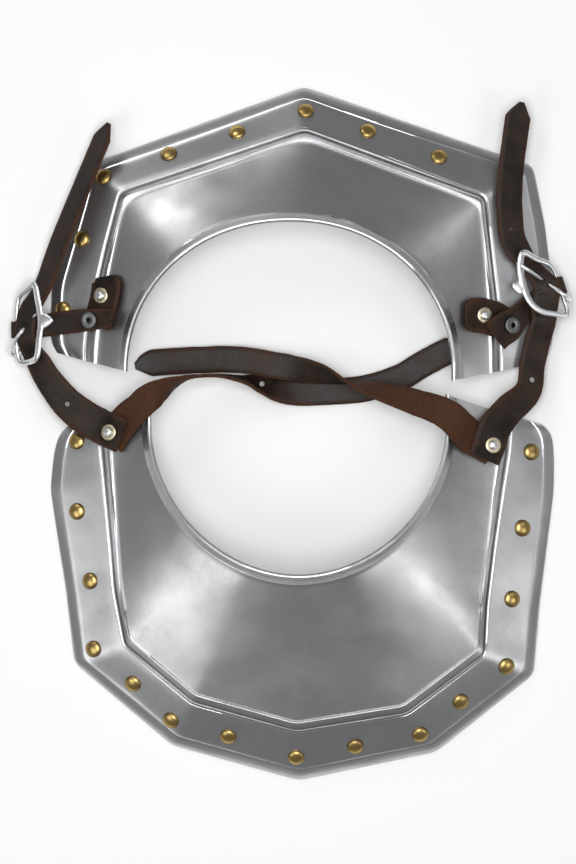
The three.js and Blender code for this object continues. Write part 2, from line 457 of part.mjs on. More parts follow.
// One closed section of a plate: its flat outline (distance across, height) and the same points in space
function plateSection(neck, row) {
  const rim = superellipse(neck, row.neck);
  const crease = new THREE.Vector2(row.creaseX, row.creaseY);
  const edge = new THREE.Vector2(row.edgeX, row.edgeY);
  const inward = crease.clone().sub(rim);
  const outward = edge.clone().sub(crease);
  const creaseAt = inward.length();
  const edgeAt = creaseAt + outward.length();
  const origin = {
    neck: { at: 0, z: row.rimZ, unit: 1 },
    crease: { at: creaseAt, z: row.creaseZ, unit: 1 },
    fold: { at: edgeAt - BAND, z: row.creaseZ * FOLD_SHARE, unit: row.creaseZ * FOLD_SHARE },
    edge: { at: edgeAt, z: 0, unit: 1 },
  };
  inward.normalize();
  outward.normalize();
  const outer = PROFILE.map(({ from, run, rise }) => (
    new THREE.Vector2(origin[from].at + run, origin[from].z + rise * origin[from].unit)
  ));
  const inner = offsetLine(outer, SHEET).slice(ROLL_POINTS, -1);
  inner[inner.length - 1].set(edgeAt - SHEET, 0);
  const outline = [...outer, ...inner.reverse()];
  const points = outline.map(({ x, y }) => {
    const plan = x < creaseAt
      ? rim.clone().addScaledVector(inward, x)
      : crease.clone().addScaledVector(outward, x - creaseAt);
    return new THREE.Vector3(plan.x, plan.y, y);
  });
  return { outline, points };
}

// A closed body through rings of equal count; open ends are capped with the outline's triangles
function loft(rings, capOutline = null) {
  const count = rings[0].length;
  const positions = rings.flat().flatMap((p) => [p.x, p.y, p.z]);
  const index = [];
  const last = capOutline ? rings.length - 1 : rings.length;
  for (let i = 0; i < last; i += 1) {
    const j = (i + 1) % rings.length;
    for (let k = 0; k < count; k += 1) {
      const m = (k + 1) % count;
      index.push(i * count + k, j * count + k, j * count + m);
      index.push(i * count + k, j * count + m, i * count + m);
    }
  }
  if (capOutline) {
    const clockwise = THREE.ShapeUtils.isClockWise(capOutline);
    const end = (rings.length - 1) * count;
    for (const [a, b, c] of THREE.ShapeUtils.triangulateShape(capOutline, [])) {
      const [p, q, r] = clockwise ? [a, c, b] : [a, b, c];
      index.push(p, q, r, end + p, end + r, end + q);
    }
  }
  const geometry = new THREE.BufferGeometry();
  geometry.setAttribute('position', new THREE.Float32BufferAttribute(positions, 3));
  geometry.setIndex(signedVolume(positions, index) < 0 ? index.toReversed() : index);
  return geometry;
}

function signedVolume(positions, index) {
  const corner = (i) => new THREE.Vector3().fromArray(positions, 3 * index[i]);
  let six = 0;
  for (let i = 0; i < index.length; i += 3) six += corner(i).cross(corner(i + 1)).dot(corner(i + 2));
  return six / 6;
}

function asSolid(geometry) {
  const bare = geometry.clone();
  bare.deleteAttribute('normal');
  bare.deleteAttribute('uv');
  const welded = mergeVertices(bare, 1e-4);
  const solid = new wasm.Manifold(new wasm.Mesh({
    numProp: 3,
    vertProperties: new Float32Array(welded.getAttribute('position').array),
    triVerts: new Uint32Array(welded.index.array),
  }));
  return solid;
}

function asGeometry(solid) {
  const mesh = solid.getMesh();
  const geometry = new THREE.BufferGeometry();
  geometry.setAttribute('position', new THREE.BufferAttribute(new Float32Array(mesh.vertProperties), 3));
  geometry.setIndex(new THREE.BufferAttribute(new Uint32Array(mesh.triVerts), 1));
  return geometry;
}

const assembly = new THREE.Group();

const STEEL = new THREE.MeshStandardMaterial({ color: 0xb4b4b2, roughness: 0.28, metalness: 1 });
const BRASS_METAL = new THREE.MeshStandardMaterial({ color: 0xb9953f, roughness: 0.3, metalness: 1 });
const NICKEL = new THREE.MeshStandardMaterial({ color: 0xc9c6bf, roughness: 0.2, metalness: 1 });
const LEATHER = new THREE.MeshStandardMaterial({ color: 0x33211a, roughness: 0.6, metalness: 0 });

// Adds a named piece; a lathed piece stands with its axis along place.normal at place.point
function addPiece(name, geometry, material, place = null) {
  const mesh = new THREE.Mesh(geometry, material);
  mesh.name = name;
  if (place) {
    mesh.position.copy(place.point);
    mesh.quaternion.setFromUnitVectors(new THREE.Vector3(0, 1, 0), place.normal);
  }
  assembly.add(mesh);
}

// Plates
function plateGeometry(neck, rows) {
  const sections = stationSteps(rows).map((t) => plateSection(neck, mixRows(rows, t)));
  return loft(sections.map((section) => section.points), sections[0].outline);
}

const frontSheet = plateGeometry(FRONT_NECK, FRONT_ROWS);
const backSheet = plateGeometry(BACK_NECK, BACK_ROWS);

// The spot on a plate where a rivet stands: the plane through a small disc of its top face,
// lifted so that nothing of the disc stands above it
function seatOn(sheet, x, y, radius) {
  const target = new THREE.Mesh(sheet, new THREE.MeshBasicMaterial());
  const ray = new THREE.Raycaster();
  const spots = [];
  const normal = new THREE.Vector3();
  for (let k = 0; k < SEAT_SAMPLES; k += 1) {
    const angle = (TAU * k) / SEAT_SAMPLES;
    const from = new THREE.Vector3(x + radius * Math.cos(angle), y + radius * Math.sin(angle), SKY);
    ray.set(from, UP.clone().negate());
    spots.push(ray.intersectObject(target)[0].point);
  }
  for (let k = 0; k < SEAT_SAMPLES; k += 1) {
    normal.add(spots[k].clone().cross(spots[(k + 1) % SEAT_SAMPLES]));
  }
  normal.normalize();
  ray.set(new THREE.Vector3(x, y, SKY), UP.clone().negate());
  const point = ray.intersectObject(target)[0].point;
  const highest = Math.max(0, ...spots.map((spot) => spot.clone().sub(point).dot(normal)));
  point.addScaledVector(normal, highest);
  return { point, normal, lift: highest };
}

// A six-sided bore through a seat, as a solid
function bore(seat, radius, reach) {
  const rod = new THREE.CylinderGeometry(radius, radius, 2 * reach, 6);
  const turn = new THREE.Quaternion().setFromUnitVectors(new THREE.Vector3(0, 1, 0), seat.normal);
  rod.applyQuaternion(turn);
  rod.translate(seat.point.x, seat.point.y, seat.point.z);
  return asSolid(rod);
}

function lathed(profile, sides) {
  return new THREE.LatheGeometry(profile.map(([radius, height]) => new THREE.Vector2(radius, height)), sides);
}

// A riveted stud: a domed head that stands clear above its seat and a flattened tail under the sheets it holds
function studGeometry({ head, crown, shank, tail, sides }, base, below) {
  return lathed([
    [0, -below - 0.8],
    [tail, -below],
    [shank, -below],
    [shank, base],
    [head, base],
    [head * 0.57, base + crown * 0.76],
    [0, base + crown],
  ], sides);
}

// Ribbons of leather: a flat section carried along stations
function stationsFrom(rows) {
  return rows.map((row) => {
    const across = THREE.MathUtils.degToRad(row.across);
    const lean = THREE.MathUtils.degToRad(row.lean);
    return {
      point: new THREE.Vector3(row.x, row.y, row.z),
      side: new THREE.Vector3(
        Math.cos(across) * Math.cos(lean),
        Math.sin(across) * Math.cos(lean),
        Math.sin(lean),
      ),
      width: row.width,
      cuts: row.cuts,
    };
  });
}

function ribbon(stations, thickness) {
  const last = stations.length - 1;
  const spine = new THREE.CatmullRomCurve3(stations.map((s) => s.point), false, 'catmullrom', 0.5);
  const sides = new THREE.CatmullRomCurve3(stations.map((s) => s.side), false, 'catmullrom', 0.5);
  const steps = stations.flatMap(({ cuts }, i) => (
    i === last ? [last] : Array.from({ length: cuts }, (_, k) => i + k / cuts)
  ));
  const rings = steps.map((step) => {
    const i = Math.min(Math.floor(step), last - 1);
    const width = THREE.MathUtils.lerp(stations[i].width, stations[i + 1].width, step - i);
    const tangent = spine.getTangent(step / last);
    const side = sides.getPoint(step / last);
    side.addScaledVector(tangent, -side.dot(tangent)).setLength(width / 2);
    const rise = tangent.clone().cross(side).setLength(thickness / 2);
    const centre = spine.getPoint(step / last);
    return RIBBON_CORNERS.map(([u, v]) => centre.clone().addScaledVector(side, u).addScaledVector(rise, v));
  });
  return loft(rings, RIBBON_CORNERS.map(([u, v]) => new THREE.Vector2(u, v)));
}

// A chape: from one end over the heel bar of its buckle and back below itself
function chapeStations({ upper, lower, heel }) {
  const centre = new THREE.Vector3(heel.x, heel.y, heel.z);
  const bar = new THREE.Vector3(heel.barX, heel.barY, heel.barZ).normalize();
  const away = new THREE.Vector3(bar.y, -bar.x, 0).multiplyScalar(heel.hand).normalize();
  const up = new THREE.Vector3().crossVectors(bar, away).multiplyScalar(-heel.hand).normalize();
  if (up.z < 0) up.negate();
  const fold = FOLD_TURNS.map((degrees) => {
    const turn = THREE.MathUtils.degToRad(degrees);
    return {
      point: centre.clone()
        .addScaledVector(up, FOLD_RADIUS * Math.cos(turn))
        .addScaledVector(away, FOLD_RADIUS * Math.sin(turn)),
      side: bar.clone().multiplyScalar(heel.hand),
      width: heel.width,
      cuts: 1,
    };
  });
  return [...stationsFrom(upper), ...fold, ...stationsFrom(lower)];
}

// A bar swept along a curve with a rounded section; wide lies in the frame's plane, thick square to it
function barSweep(rows, closed, plane, sides, cuts) {
  const points = rows.map((row) => new THREE.Vector3(row.x, row.y, row.z));
  const curve = new THREE.CatmullRomCurve3(points, closed, 'catmullrom', 0.5);
  const spans = closed ? rows.length : rows.length - 1;
  const count = spans * cuts + (closed ? 0 : 1);
  const circle = Array.from({ length: sides }, (_, k) => (TAU * k) / sides);
  const rings = Array.from({ length: count }, (_, n) => {
    const step = n / cuts;
    const row = rows[Math.floor(step) % rows.length];
    const next = rows[(Math.floor(step) + 1) % rows.length];
    const share = step - Math.floor(step);
    const wide = THREE.MathUtils.lerp(row.wide, next.wide, share) / 2;
    const thick = THREE.MathUtils.lerp(row.thick, next.thick, share) / 2;
    const tangent = curve.getTangent(step / spans);
    const side = new THREE.Vector3().crossVectors(plane, tangent).normalize();
    const rise = new THREE.Vector3().crossVectors(tangent, side);
    const centre = curve.getPoint(step / spans);
    return circle.map((a) => centre.clone()
      .addScaledVector(side, wide * Math.cos(a))
      .addScaledVector(rise, thick * Math.sin(a)));
  });
  return loft(rings, closed ? null : circle.map((a) => new THREE.Vector2(Math.cos(a), Math.sin(a))));
}

function planeOf(rows) {
  const at = (i) => new THREE.Vector3(rows[i].x, rows[i].y, rows[i].z);
  const third = Math.floor(rows.length / 3);
  const normal = at(third).sub(at(0)).cross(at(2 * third).sub(at(0))).normalize();
  return normal.z < 0 ? normal.negate() : normal;
}

// The room that a bar needs: its rows made thicker and run on past both ends
function grown(rows, more) {
  const runOn = (end, next) => ({
    ...end, x: 1.3 * end.x - 0.3 * next.x, y: 1.3 * end.y - 0.3 * next.y, z: 1.3 * end.z - 0.3 * next.z,
  });
  const longer = [runOn(rows[0], rows[1]), ...rows.slice(1, -1), runOn(rows.at(-1), rows.at(-2))];
  return longer.map((row) => ({ ...row, wide: row.wide + 2 * more, thick: row.thick + 2 * more }));
}

// Rivets of the plates
const bores = { front: [], back: [] };
for (const [side, sheet, list] of [['front', frontSheet, FRONT_RIVETS], ['back', backSheet, BACK_RIVETS]]) {
  list.forEach(({ x, y }, i) => {
    const seat = seatOn(sheet, x, y, SEAT_RADIUS);
    const stud = studGeometry(BRASS, GAP, SHEET + 2 * GAP + seat.lift);
    addPiece(`${side}_rivet_${String(i + 1).padStart(2, '0')}`, stud, BRASS_METAL, seat);
    bores[side].push(bore(seat, RIVET_HOLE, 5));
  });
}

// Straps, tabs and chapes before their holes
const leather = {
  side_strap_right: asSolid(ribbon(stationsFrom(SIDE_RIGHT), STRAP_THICK)),
  side_strap_left: asSolid(ribbon(stationsFrom(SIDE_LEFT), STRAP_THICK)),
  inner_strap_right: asSolid(ribbon(stationsFrom(INNER_RIGHT), STRAP_THICK)),
  inner_strap_left: asSolid(ribbon(stationsFrom(INNER_LEFT), STRAP_THICK)),
  hanger_right: asSolid(ribbon(stationsFrom(HANGER_RIGHT), TAB_THICK)),
  hanger_left: asSolid(ribbon(stationsFrom(HANGER_LEFT), TAB_THICK)),
  chape_right: asSolid(ribbon(chapeStations(CHAPE_RIGHT), TAB_THICK)),
  chape_left: asSolid(ribbon(chapeStations(CHAPE_LEFT), TAB_THICK)),
};

// Strap rivets with their washer rings, and the bores through all that they hold
for (const { name, x, y, sheet, stack, through } of STRAP_RIVETS) {
  const plate = sheet === 'front' ? frontSheet : backSheet;
  const seat = seatOn(plate, x, y, WIDE_SEAT);
  addPiece(`rivet_washer_${name}`, lathed([
    [WASHER.inner, stack],
    [WASHER.outer, stack],
    [WASHER.outer - 0.5, stack + WASHER.thick],
    [WASHER.inner, stack + WASHER.thick],
    [WASHER.inner, stack],
  ], 10), BRASS_METAL, seat);
  const stud = studGeometry(STUD, stack + WASHER.thick + GAP, SHEET + 3 * GAP + seat.lift);
  addPiece(`strap_rivet_${name}`, stud, NICKEL, seat);
  const drill = bore(seat, STUD_HOLE, 12);
  bores[sheet].push(drill);
  for (const piece of through) leather[piece] = leather[piece].subtract(drill);
}

// Eyelets that close the chapes
for (const { name, x, y, z, across, lean, dive, through } of EYELETS) {
  const [{ point, side }] = stationsFrom([{ x, y, z, across, lean }]);
  const along = new THREE.Vector3(side.y, -side.x, 0).normalize();
  along.z = Math.tan(THREE.MathUtils.degToRad(dive));
  const normal = along.cross(side).normalize();
  const seat = { point, normal };
  addPiece(`chape_eyelet_${name}`, lathed(EYELET_PROFILE, 10), NICKEL, seat);
  const drill = bore(seat, EYELET_HOLE, 4);
  for (const piece of through) leather[piece] = leather[piece].subtract(drill);
}

// Buckles
for (const [hand, frame, tab, prong] of [
  ['right', FRAME_RIGHT, TAB_RIGHT, PRONG_RIGHT],
  ['left', FRAME_LEFT, TAB_LEFT, PRONG_LEFT],
]) {
  const plane = planeOf(frame);
  const ring = asSolid(barSweep(frame, true, plane, 6, 2));
  const nose = asSolid(barSweep(tab, false, plane, 6, 1));
  addPiece(`buckle_frame_${hand}`, asGeometry(ring.add(nose)), NICKEL);
  const course = new THREE.Vector3(prong.at(-1).y - prong[0].y, prong[0].x - prong.at(-1).x, 0).normalize();
  addPiece(`buckle_prong_${hand}`, barSweep(prong, false, course, 6, 1), NICKEL);
  const sleeve = asSolid(barSweep(grown(prong, GAP), false, course, 6, 1));
  for (const piece of [`side_strap_${hand}`, `chape_${hand}`]) leather[piece] = leather[piece].subtract(sleeve);
}

// Spare holes punched in the side straps and one inner strap
for (const { piece, x, y, z } of PUNCHED) {
  const punch = bore({ point: new THREE.Vector3(x, y, z), normal: UP }, PUNCH_RADIUS, 7);
  leather[piece] = leather[piece].subtract(punch);
}

addPiece('front_plate', asGeometry(asSolid(frontSheet).subtract(wasm.Manifold.union(bores.front))), STEEL);
addPiece('back_plate', asGeometry(asSolid(backSheet).subtract(wasm.Manifold.union(bores.back))), STEEL);
for (const [name, solid] of Object.entries(leather)) addPiece(name, asGeometry(solid), LEATHER);

export default assembly;
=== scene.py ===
"""Steel gorget laid open on a pale floor: two riveted plates, two buckled straps and two inner straps."""

import logging
import math
from dataclasses import dataclass, field
from enum import Enum
from functools import cache
from typing import NamedTuple, Sequence

import bmesh
import bpy
import numpy as np
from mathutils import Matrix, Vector, noise
from mathutils.bvhtree import BVHTree


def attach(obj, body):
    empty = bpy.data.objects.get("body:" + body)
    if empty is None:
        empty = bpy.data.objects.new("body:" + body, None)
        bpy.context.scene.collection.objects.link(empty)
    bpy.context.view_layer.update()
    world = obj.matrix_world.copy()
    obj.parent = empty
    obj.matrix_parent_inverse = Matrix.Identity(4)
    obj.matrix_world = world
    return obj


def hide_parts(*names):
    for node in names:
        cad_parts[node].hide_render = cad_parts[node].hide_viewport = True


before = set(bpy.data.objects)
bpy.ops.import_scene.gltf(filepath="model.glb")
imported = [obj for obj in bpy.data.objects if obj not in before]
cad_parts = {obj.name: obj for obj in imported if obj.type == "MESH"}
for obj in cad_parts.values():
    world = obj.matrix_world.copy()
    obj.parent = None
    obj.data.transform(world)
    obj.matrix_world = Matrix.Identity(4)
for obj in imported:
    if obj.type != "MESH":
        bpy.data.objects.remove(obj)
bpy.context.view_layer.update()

LOG = logging.getLogger("gorget")
MM = 0.001
UP = Vector((0.0, 0.0, 1.0))

# Sizes and places, in millimetres and degrees


@dataclass(frozen=True)
class Sizes:
    """Driving dimensions that several pieces share.

    Attributes:
        sheet: thickness of the plates.
        gap: clearance between two pieces.
        fold_share: height of the outer band's fold, as a share of the crease's height.
        band: width of the turned-down outer band.
        strap_thick: thickness of the side and inner straps.
        tab_thick: thickness of the hanger tabs and chapes.
        fold_radius: radius of a chape's fold round its heel bar.
        brass_seat: how far round a brass rivet its seat reaches.
        strap_seat: how far round a strap rivet its seat reaches.
    """

    sheet: float = 1.4
    gap: float = 0.35
    fold_share: float = 0.42
    band: float = 8.5
    strap_thick: float = 2.0
    tab_thick: float = 1.5
    fold_radius: float = 2.65
    brass_seat: float = 4.4
    strap_seat: float = 8.0


SIZES = Sizes()


class Neck(NamedTuple):
    """A plate's neck rim: a superellipse, closed off by straight legs past its middle."""

    x: float
    y: float
    rx: float
    ry: float
    power: float
    outward: int


class PlateRow(NamedTuple):
    """One section of a plate: its angle on the neck rim, its crease and edge in plan, and two heights."""

    neck: float
    crease_x: float
    crease_y: float
    edge_x: float
    edge_y: float
    rim_z: float
    crease_z: float


class ProfilePoint(NamedTuple):
    """One point of a plate's outer face, measured from one of the plate's lines."""

    line: str
    run: float
    rise: float


class RibbonRow(NamedTuple):
    """One station of a leather ribbon: its middle, the heading of its width, its lean and its width."""

    x: float
    y: float
    z: float
    across: float
    lean: float
    width: float


class BarRow(NamedTuple):
    """One station of a metal bar: its middle, and its size in and square to the plane of its course."""

    x: float
    y: float
    z: float
    wide: float
    thick: float


class Heel(NamedTuple):
    """The heel bar that a chape folds round: its place, its course, and the chape's side and width."""

    x: float
    y: float
    z: float
    bar_x: float
    bar_y: float
    hand: int
    width: float


def table(kind: type[NamedTuple], *rows: Sequence) -> list:
    """Gives the rows of a table their column names."""
    return [kind(*row) for row in rows]


def below(upper: Sequence[RibbonRow], *heights: float) -> list[RibbonRow]:
    """A chape's lower layer: the upper one's rows, run back from the heel bar at heights of their own."""
    return [row._replace(z=z) for row, z in zip(reversed(upper), heights)]


FRONT_NECK = Neck(5.1, 5.1, 87.6, 88.5, 1.93, -1)
BACK_NECK = Neck(-0.3, 36.9, 96.6, 88.8, 2.06, 1)
FRONT_ROWS = table(
    PlateRow,
    (12, 131.5, 10.5, 151, 5.5, 30, 10), (9, 131.5, 5.5, 155, 2.5, 30.5, 10),
    (5, 131.5, -0.5, 157.5, -3, 31, 10.5), (-5, 130.8, -11, 158.4, -16, 33, 11),
    (-15.5, 127.5, -32, 158.1, -35, 37, 12), (-29.5, 122.4, -67, 154.2, -67, 43, 13.5),
    (-41, 118, -103, 149.7, -103, 49, 14.5), (-50.5, 116.4, -132.5, 146.1, -144.5, 54, 15.5),
    (-69.5, 69.6, -167.5, 87.6, -191, 61, 17.5), (-91, 3.6, -178, 5.4, -208, 64, 19),
    (-111, -58.2, -161, -70.5, -187, 61, 17.5), (-130.5, -99, -127, -129.3, -137.5, 54, 15.5),
    (-141, -105.2, -94, -134.4, -94, 49, 14.5), (-152, -108, -62, -139.5, -62, 43, 13.5),
    (-165, -111.3, -28, -143.7, -33, 37, 12), (-173, -112.8, -13, -141.9, -14, 33, 11),
    (-180, -113.2, -4, -139.8, -4.5, 31, 10.5), (-184, -113.4, 2, -136.8, 1.5, 30.5, 10),
    (-187, -113.4, 8, -132.6, 5, 30, 10),
)
BACK_ROWS = table(
    PlateRow,
    (180, -122.4, 43.5, -139.8, 48.5, 30, 10), (176, -122.7, 50, -143.4, 55, 31, 10),
    (168, -121.2, 65, -143.7, 71, 33, 11), (158, -116.4, 86, -142.8, 89, 37, 12),
    (147, -111, 110, -136.2, 112, 41, 13), (133, -101.7, 145, -121.8, 161, 46, 14.5),
    (87, 8.7, 182, 8.4, 208, 52, 17), (41.5, 117, 142, 145.8, 160.5, 46, 14.5),
    (32, 120, 116, 153, 124.5, 41, 13), (18.5, 124.2, 80, 157.8, 86, 37, 12),
    (7.5, 125.7, 53, 157.8, 59, 33, 11), (3, 126, 45.5, 156.6, 50, 31, 10),
    (-3.5, 126, 37.5, 153, 43.5, 30, 10),
)
PROFILE = table(
    ProfilePoint,
    ("neck", 0.0, -1.7), ("neck", 0.8, -0.3), ("neck", 2.4, -0.2), ("neck", 3.3, -1.5), ("neck", 3.6, -3.0),
    ("neck", 6.4, -7.6), ("neck", 9.0, -9.4), ("crease", -8.0, 5.0), ("crease", -5.2, 4.7),
    ("crease", -3.2, 3.2), ("crease", -1.2, 0.5), ("crease", 0.4, 0.0), ("crease", 2.0, 0.3),
    ("fold", 0.0, 0.0), ("fold", 2.6, -0.14), ("fold", 6.4, -0.54), ("edge", 0.0, 1.0), ("edge", 0.0, 0.0),
)
FRONT_RIVETS = (
    (144.6, -11.1), (139.2, -56.7), (132.9, -99.1), (129.6, -139.4), (102.2, -160.5), (78, -180.2),
    (39.1, -187.3), (3.6, -193.9), (-37, -181.3), (-71.4, -171.7), (-94.1, -149.7), (-117.7, -129.1),
    (-119.7, -88.3), (-127.6, -46.7), (-127.7, -4.6),
)
BACK_RIVETS = (
    (-135.9, 74.1), (-124.6, 116.5), (-111.6, 153.6), (-72.6, 167.3), (-31.7, 180.4), (9.4, 193.1),
    (46.7, 181.1), (89.2, 165.5), (129, 153.9), (133.2, 116.1), (150, 74.1),
)

SIDE_RIGHT = table(
    RibbonRow,
    (115.8, -15, 25, 157, 20, 20.5), (118.8, -7.2, 23.4, 160, 20, 21), (122.1, 2.7, 22.2, 150, 18, 20.5),
    (130.2, 13.5, 17.9, 138, 20, 19.5), (139.2, 21.3, 13.8, 142, 12, 17), (143.7, 28.5, 11, 164, 14, 16),
    (144.9, 39.9, 9.4, 173, 18, 16), (148.2, 54.3, 9.6, 168, 18, 16), (151.8, 66.9, 12.9, 172, 15, 15),
    (152.1, 73.5, 12.2, 178, 11, 16), (153, 80.1, 13.5, 172, 6, 16), (153.6, 87.3, 14.9, 188, 2, 16),
    (148.8, 94.5, 13.9, 218, 14, 12), (143.4, 101.1, 12.4, 224, 26, 12), (137.4, 108.9, 12.8, 210, 18, 15),
    (133.2, 117.3, 14.9, 195, 18, 16), (132, 126.9, 14.8, 183, 19, 16), (131.4, 143.1, 14.2, 179, 20, 16),
    (132.6, 161.1, 13.6, 176, 20, 16), (134.7, 177.3, 13.4, 170, 20, 16), (136.5, 189.3, 13.6, 164, 18, 16),
    (138.9, 198.3, 14, 164, 16, 3),
)
SIDE_LEFT = table(
    RibbonRow,
    (-100.5, -1.8, 24.9, 258, -8, 20.5), (-104.6, 0.3, 22.8, 252, -8, 21), (-114, 4.8, 17.6, 242, -10, 21),
    (-124.8, 11.1, 15, 237, -8, 20.5), (-135.6, 20.7, 12.6, 222, -10, 18.5),
    (-145.2, 33.3, 11, 212, -18, 16.5), (-150, 41.7, 9.6, 202, -26, 16), (-153.6, 47.7, 9.2, 208, -28, 14),
    (-157.8, 55.5, 13, 195, -25, 11.5), (-158.4, 64.5, 14.2, 172, -22, 12.5),
    (-156, 74.1, 11.8, 145, -34, 13), (-151.2, 81.9, 8.8, 140, -42, 14), (-146.4, 91.5, 9.5, 152, -45, 15),
    (-138, 114.3, 14, 158, -46, 16), (-126.6, 142.5, 13.4, 157, -48, 16), (-117, 165.9, 12.9, 159, -50, 16),
    (-112.5, 176.7, 13.2, 158, -50, 16), (-108.3, 185.7, 13.6, 156, -50, 3),
)
INNER_RIGHT = table(
    RibbonRow,
    (122.4, -10.5, 19.2, 240, 11, 20), (118.8, -7.5, 20.4, 242, 11, 21), (108.6, -2.1, 24.4, 236, 16, 20.5),
    (102, 3.9, 31.2, 230, 16, 19.5), (95.4, 10.2, 35, 233, 8, 18.5), (88.2, 14.1, 33, 242, 5, 17.5),
    (81.6, 16.5, 29, 246, 8, 16.5), (67.7, 21.1, 22.5, 252, 30, 16), (46.8, 27.3, 16.5, 253, 60, 16),
    (33, 31.5, 13.2, 253, 95, 16), (19.2, 35.7, 9.9, 253, 132, 16), (6, 38.1, 7.4, 257, 160, 16),
    (-7.2, 40.5, 6.4, 259, 176, 16), (-29.1, 44.1, 4.6, 264, 180, 16), (-53.4, 44.1, 2.6, 271, 180, 16),
    (-82.8, 42.3, 1.9, 277, 180, 16), (-93, 40.5, 1.9, 280, 180, 4),
)
INNER_LEFT = table(
    RibbonRow,
    (-108.3, -5.7, 17.6, 148, -22, 20.5), (-104.6, 0.3, 18.9, 148, -22, 21),
    (-98.4, 8.1, 22.4, 143, -29, 20), (-91.8, 14.4, 28.4, 140, -30, 18.5), (-85.2, 20.4, 31, 132, -5, 17),
    (-76.8, 25.8, 29, 124, 40, 16), (-67.2, 30.6, 25, 116, 75, 16), (-57, 33.9, 20.5, 104, 90, 16),
    (-43.2, 34.5, 15.4, 92, 92, 16), (-28.2, 32.1, 11.2, 80, 102, 16), (-16.8, 29.1, 7.8, 74, 130, 16),
    (-6, 26.1, 4.4, 76, 158, 16), (6, 24.6, 2.2, 84, 175, 16), (25.2, 25.2, 1.8, 92, 180, 16),
    (46.2, 27.3, 1.9, 102, 180, 16), (66, 33.6, 2.6, 118, 180, 16), (80.7, 42.3, 4, 120, 180, 16),
    (96, 50.1, 5.5, 117, 180, 16), (105.6, 54.9, 6.5, 117, 180, 4),
)
HANGER_RIGHT = table(
    RibbonRow,
    (104.8, 70.5, 28.2, 90, -3, 13), (108.6, 70.5, 26, 88, -2, 20.5), (114, 70.6, 22.4, 82, -4, 21),
    (123, 68.1, 17.8, 72, -4, 21), (131.4, 64.5, 12.8, 68, -6, 18), (133.8, 63.5, 12.2, 68, -6, 13),
)
HANGER_LEFT = table(
    RibbonRow,
    (-110.1, 93.9, 18.7, -12, 32, 14), (-109.8, 89.7, 19.5, -12, 33, 20.5),
    (-110.7, 82.5, 19.7, -13, 33, 20.5), (-112.8, 74.1, 19.3, -15, 33, 20), (-115.5, 64.5, 18, -17, 32, 20),
)
CHAPE_UPPER_RIGHT = table(
    RibbonRow,
    (122.7, 57.3, 22.4, 140, 25, 19), (126.6, 61.5, 20.3, 138, 23, 20), (131.4, 64.8, 17.9, 134, 22, 20),
    (138, 70.8, 14.8, 132, 16, 14), (143.4, 75.6, 11.5, 130, 8, 14), (149.4, 80.4, 10.3, 126, 4, 13),
    (156, 85.8, 11.3, 116, 2, 11),
)
CHAPE_UPPER_LEFT = table(
    RibbonRow,
    (-106.8, 69.1, 28.4, 258, -4, 11), (-111.6, 68.5, 25.4, 260, -6, 12),
    (-118.8, 68.1, 21.1, 263, -10, 13), (-128.4, 67.2, 15.3, 266, -14, 14),
    (-140.4, 65.7, 10.3, 268, -14, 14), (-151.2, 63.9, 8.3, 270, -8, 13), (-158.4, 62.7, 8.5, 270, 0, 12),
)
CHAPE_LOWER_RIGHT = below(CHAPE_UPPER_RIGHT, 7.2, 8.6, 9.6, 12.9, 15.9, 18.4)
CHAPE_LOWER_LEFT = below(CHAPE_UPPER_LEFT, 3.5, 4.2, 7.5, 12.7, 18.5)
CHAPE_LOWER_LEFT.append(RibbonRow(-109.2, 68.8, 24.5, 259, -5, 12))
HEEL_RIGHT = Heel(161.4, 88.5, 9.3, -15.5, 48.0, 1, 10.5)
HEEL_LEFT = Heel(-163.8, 62.1, 6.0, 0.0, 60.0, -1, 10.0)
FRAME_RIGHT = table(
    BarRow,
    (139.8, 108, 17.4, 4.2, 2.4), (147.6, 104.3, 14.6, 3.6, 2.2), (155.7, 100.8, 11.4, 3.2, 2.4),
    (159.6, 93.9, 9.3, 2.7, 2.7), (161.4, 88.5, 9.3, 2.7, 2.7), (163.5, 81.9, 9.3, 2.7, 2.7),
    (166.2, 71.4, 11.8, 3.2, 2.4), (157.2, 71.7, 14.4, 3.6, 2.2), (149.1, 73.8, 16.4, 4.2, 2.4),
    (143.1, 79.8, 17.8, 4.4, 2.4), (139.2, 90.3, 18.8, 4.8, 2.4), (137.7, 101.1, 18.2, 4.4, 2.4),
)
FRAME_LEFT = table(
    BarRow,
    (-153, 89.1, 16.8, 4.2, 2.4), (-157.8, 86.1, 12.2, 3.6, 2.2), (-162.6, 81.3, 7, 3.2, 2.6),
    (-163.8, 71.7, 6, 2.7, 2.7), (-163.8, 62.1, 6, 2.7, 2.7), (-163.8, 52.5, 6, 2.7, 2.7),
    (-162, 43.2, 6.6, 3.2, 2.6), (-156.3, 42.9, 11, 3.6, 2.2), (-151.5, 45.9, 16, 4.2, 2.4),
    (-150.3, 56.1, 17.4, 4.4, 2.4), (-149.1, 68.1, 18, 4.8, 2.4), (-150.9, 80.1, 17.6, 4.4, 2.4),
)
NOSE_RIGHT = table(
    BarRow,
    (139.8, 87.3, 18.8, 10, 2.2), (136.2, 88.1, 19.6, 8, 2.2), (132.9, 88.7, 20.4, 3, 1.6),
)
NOSE_LEFT = table(
    BarRow,
    (-149.7, 67.5, 18, 11, 2.2), (-145.8, 67.6, 20, 8.5, 2.2), (-141.6, 67.7, 22, 2.6, 1.6),
)
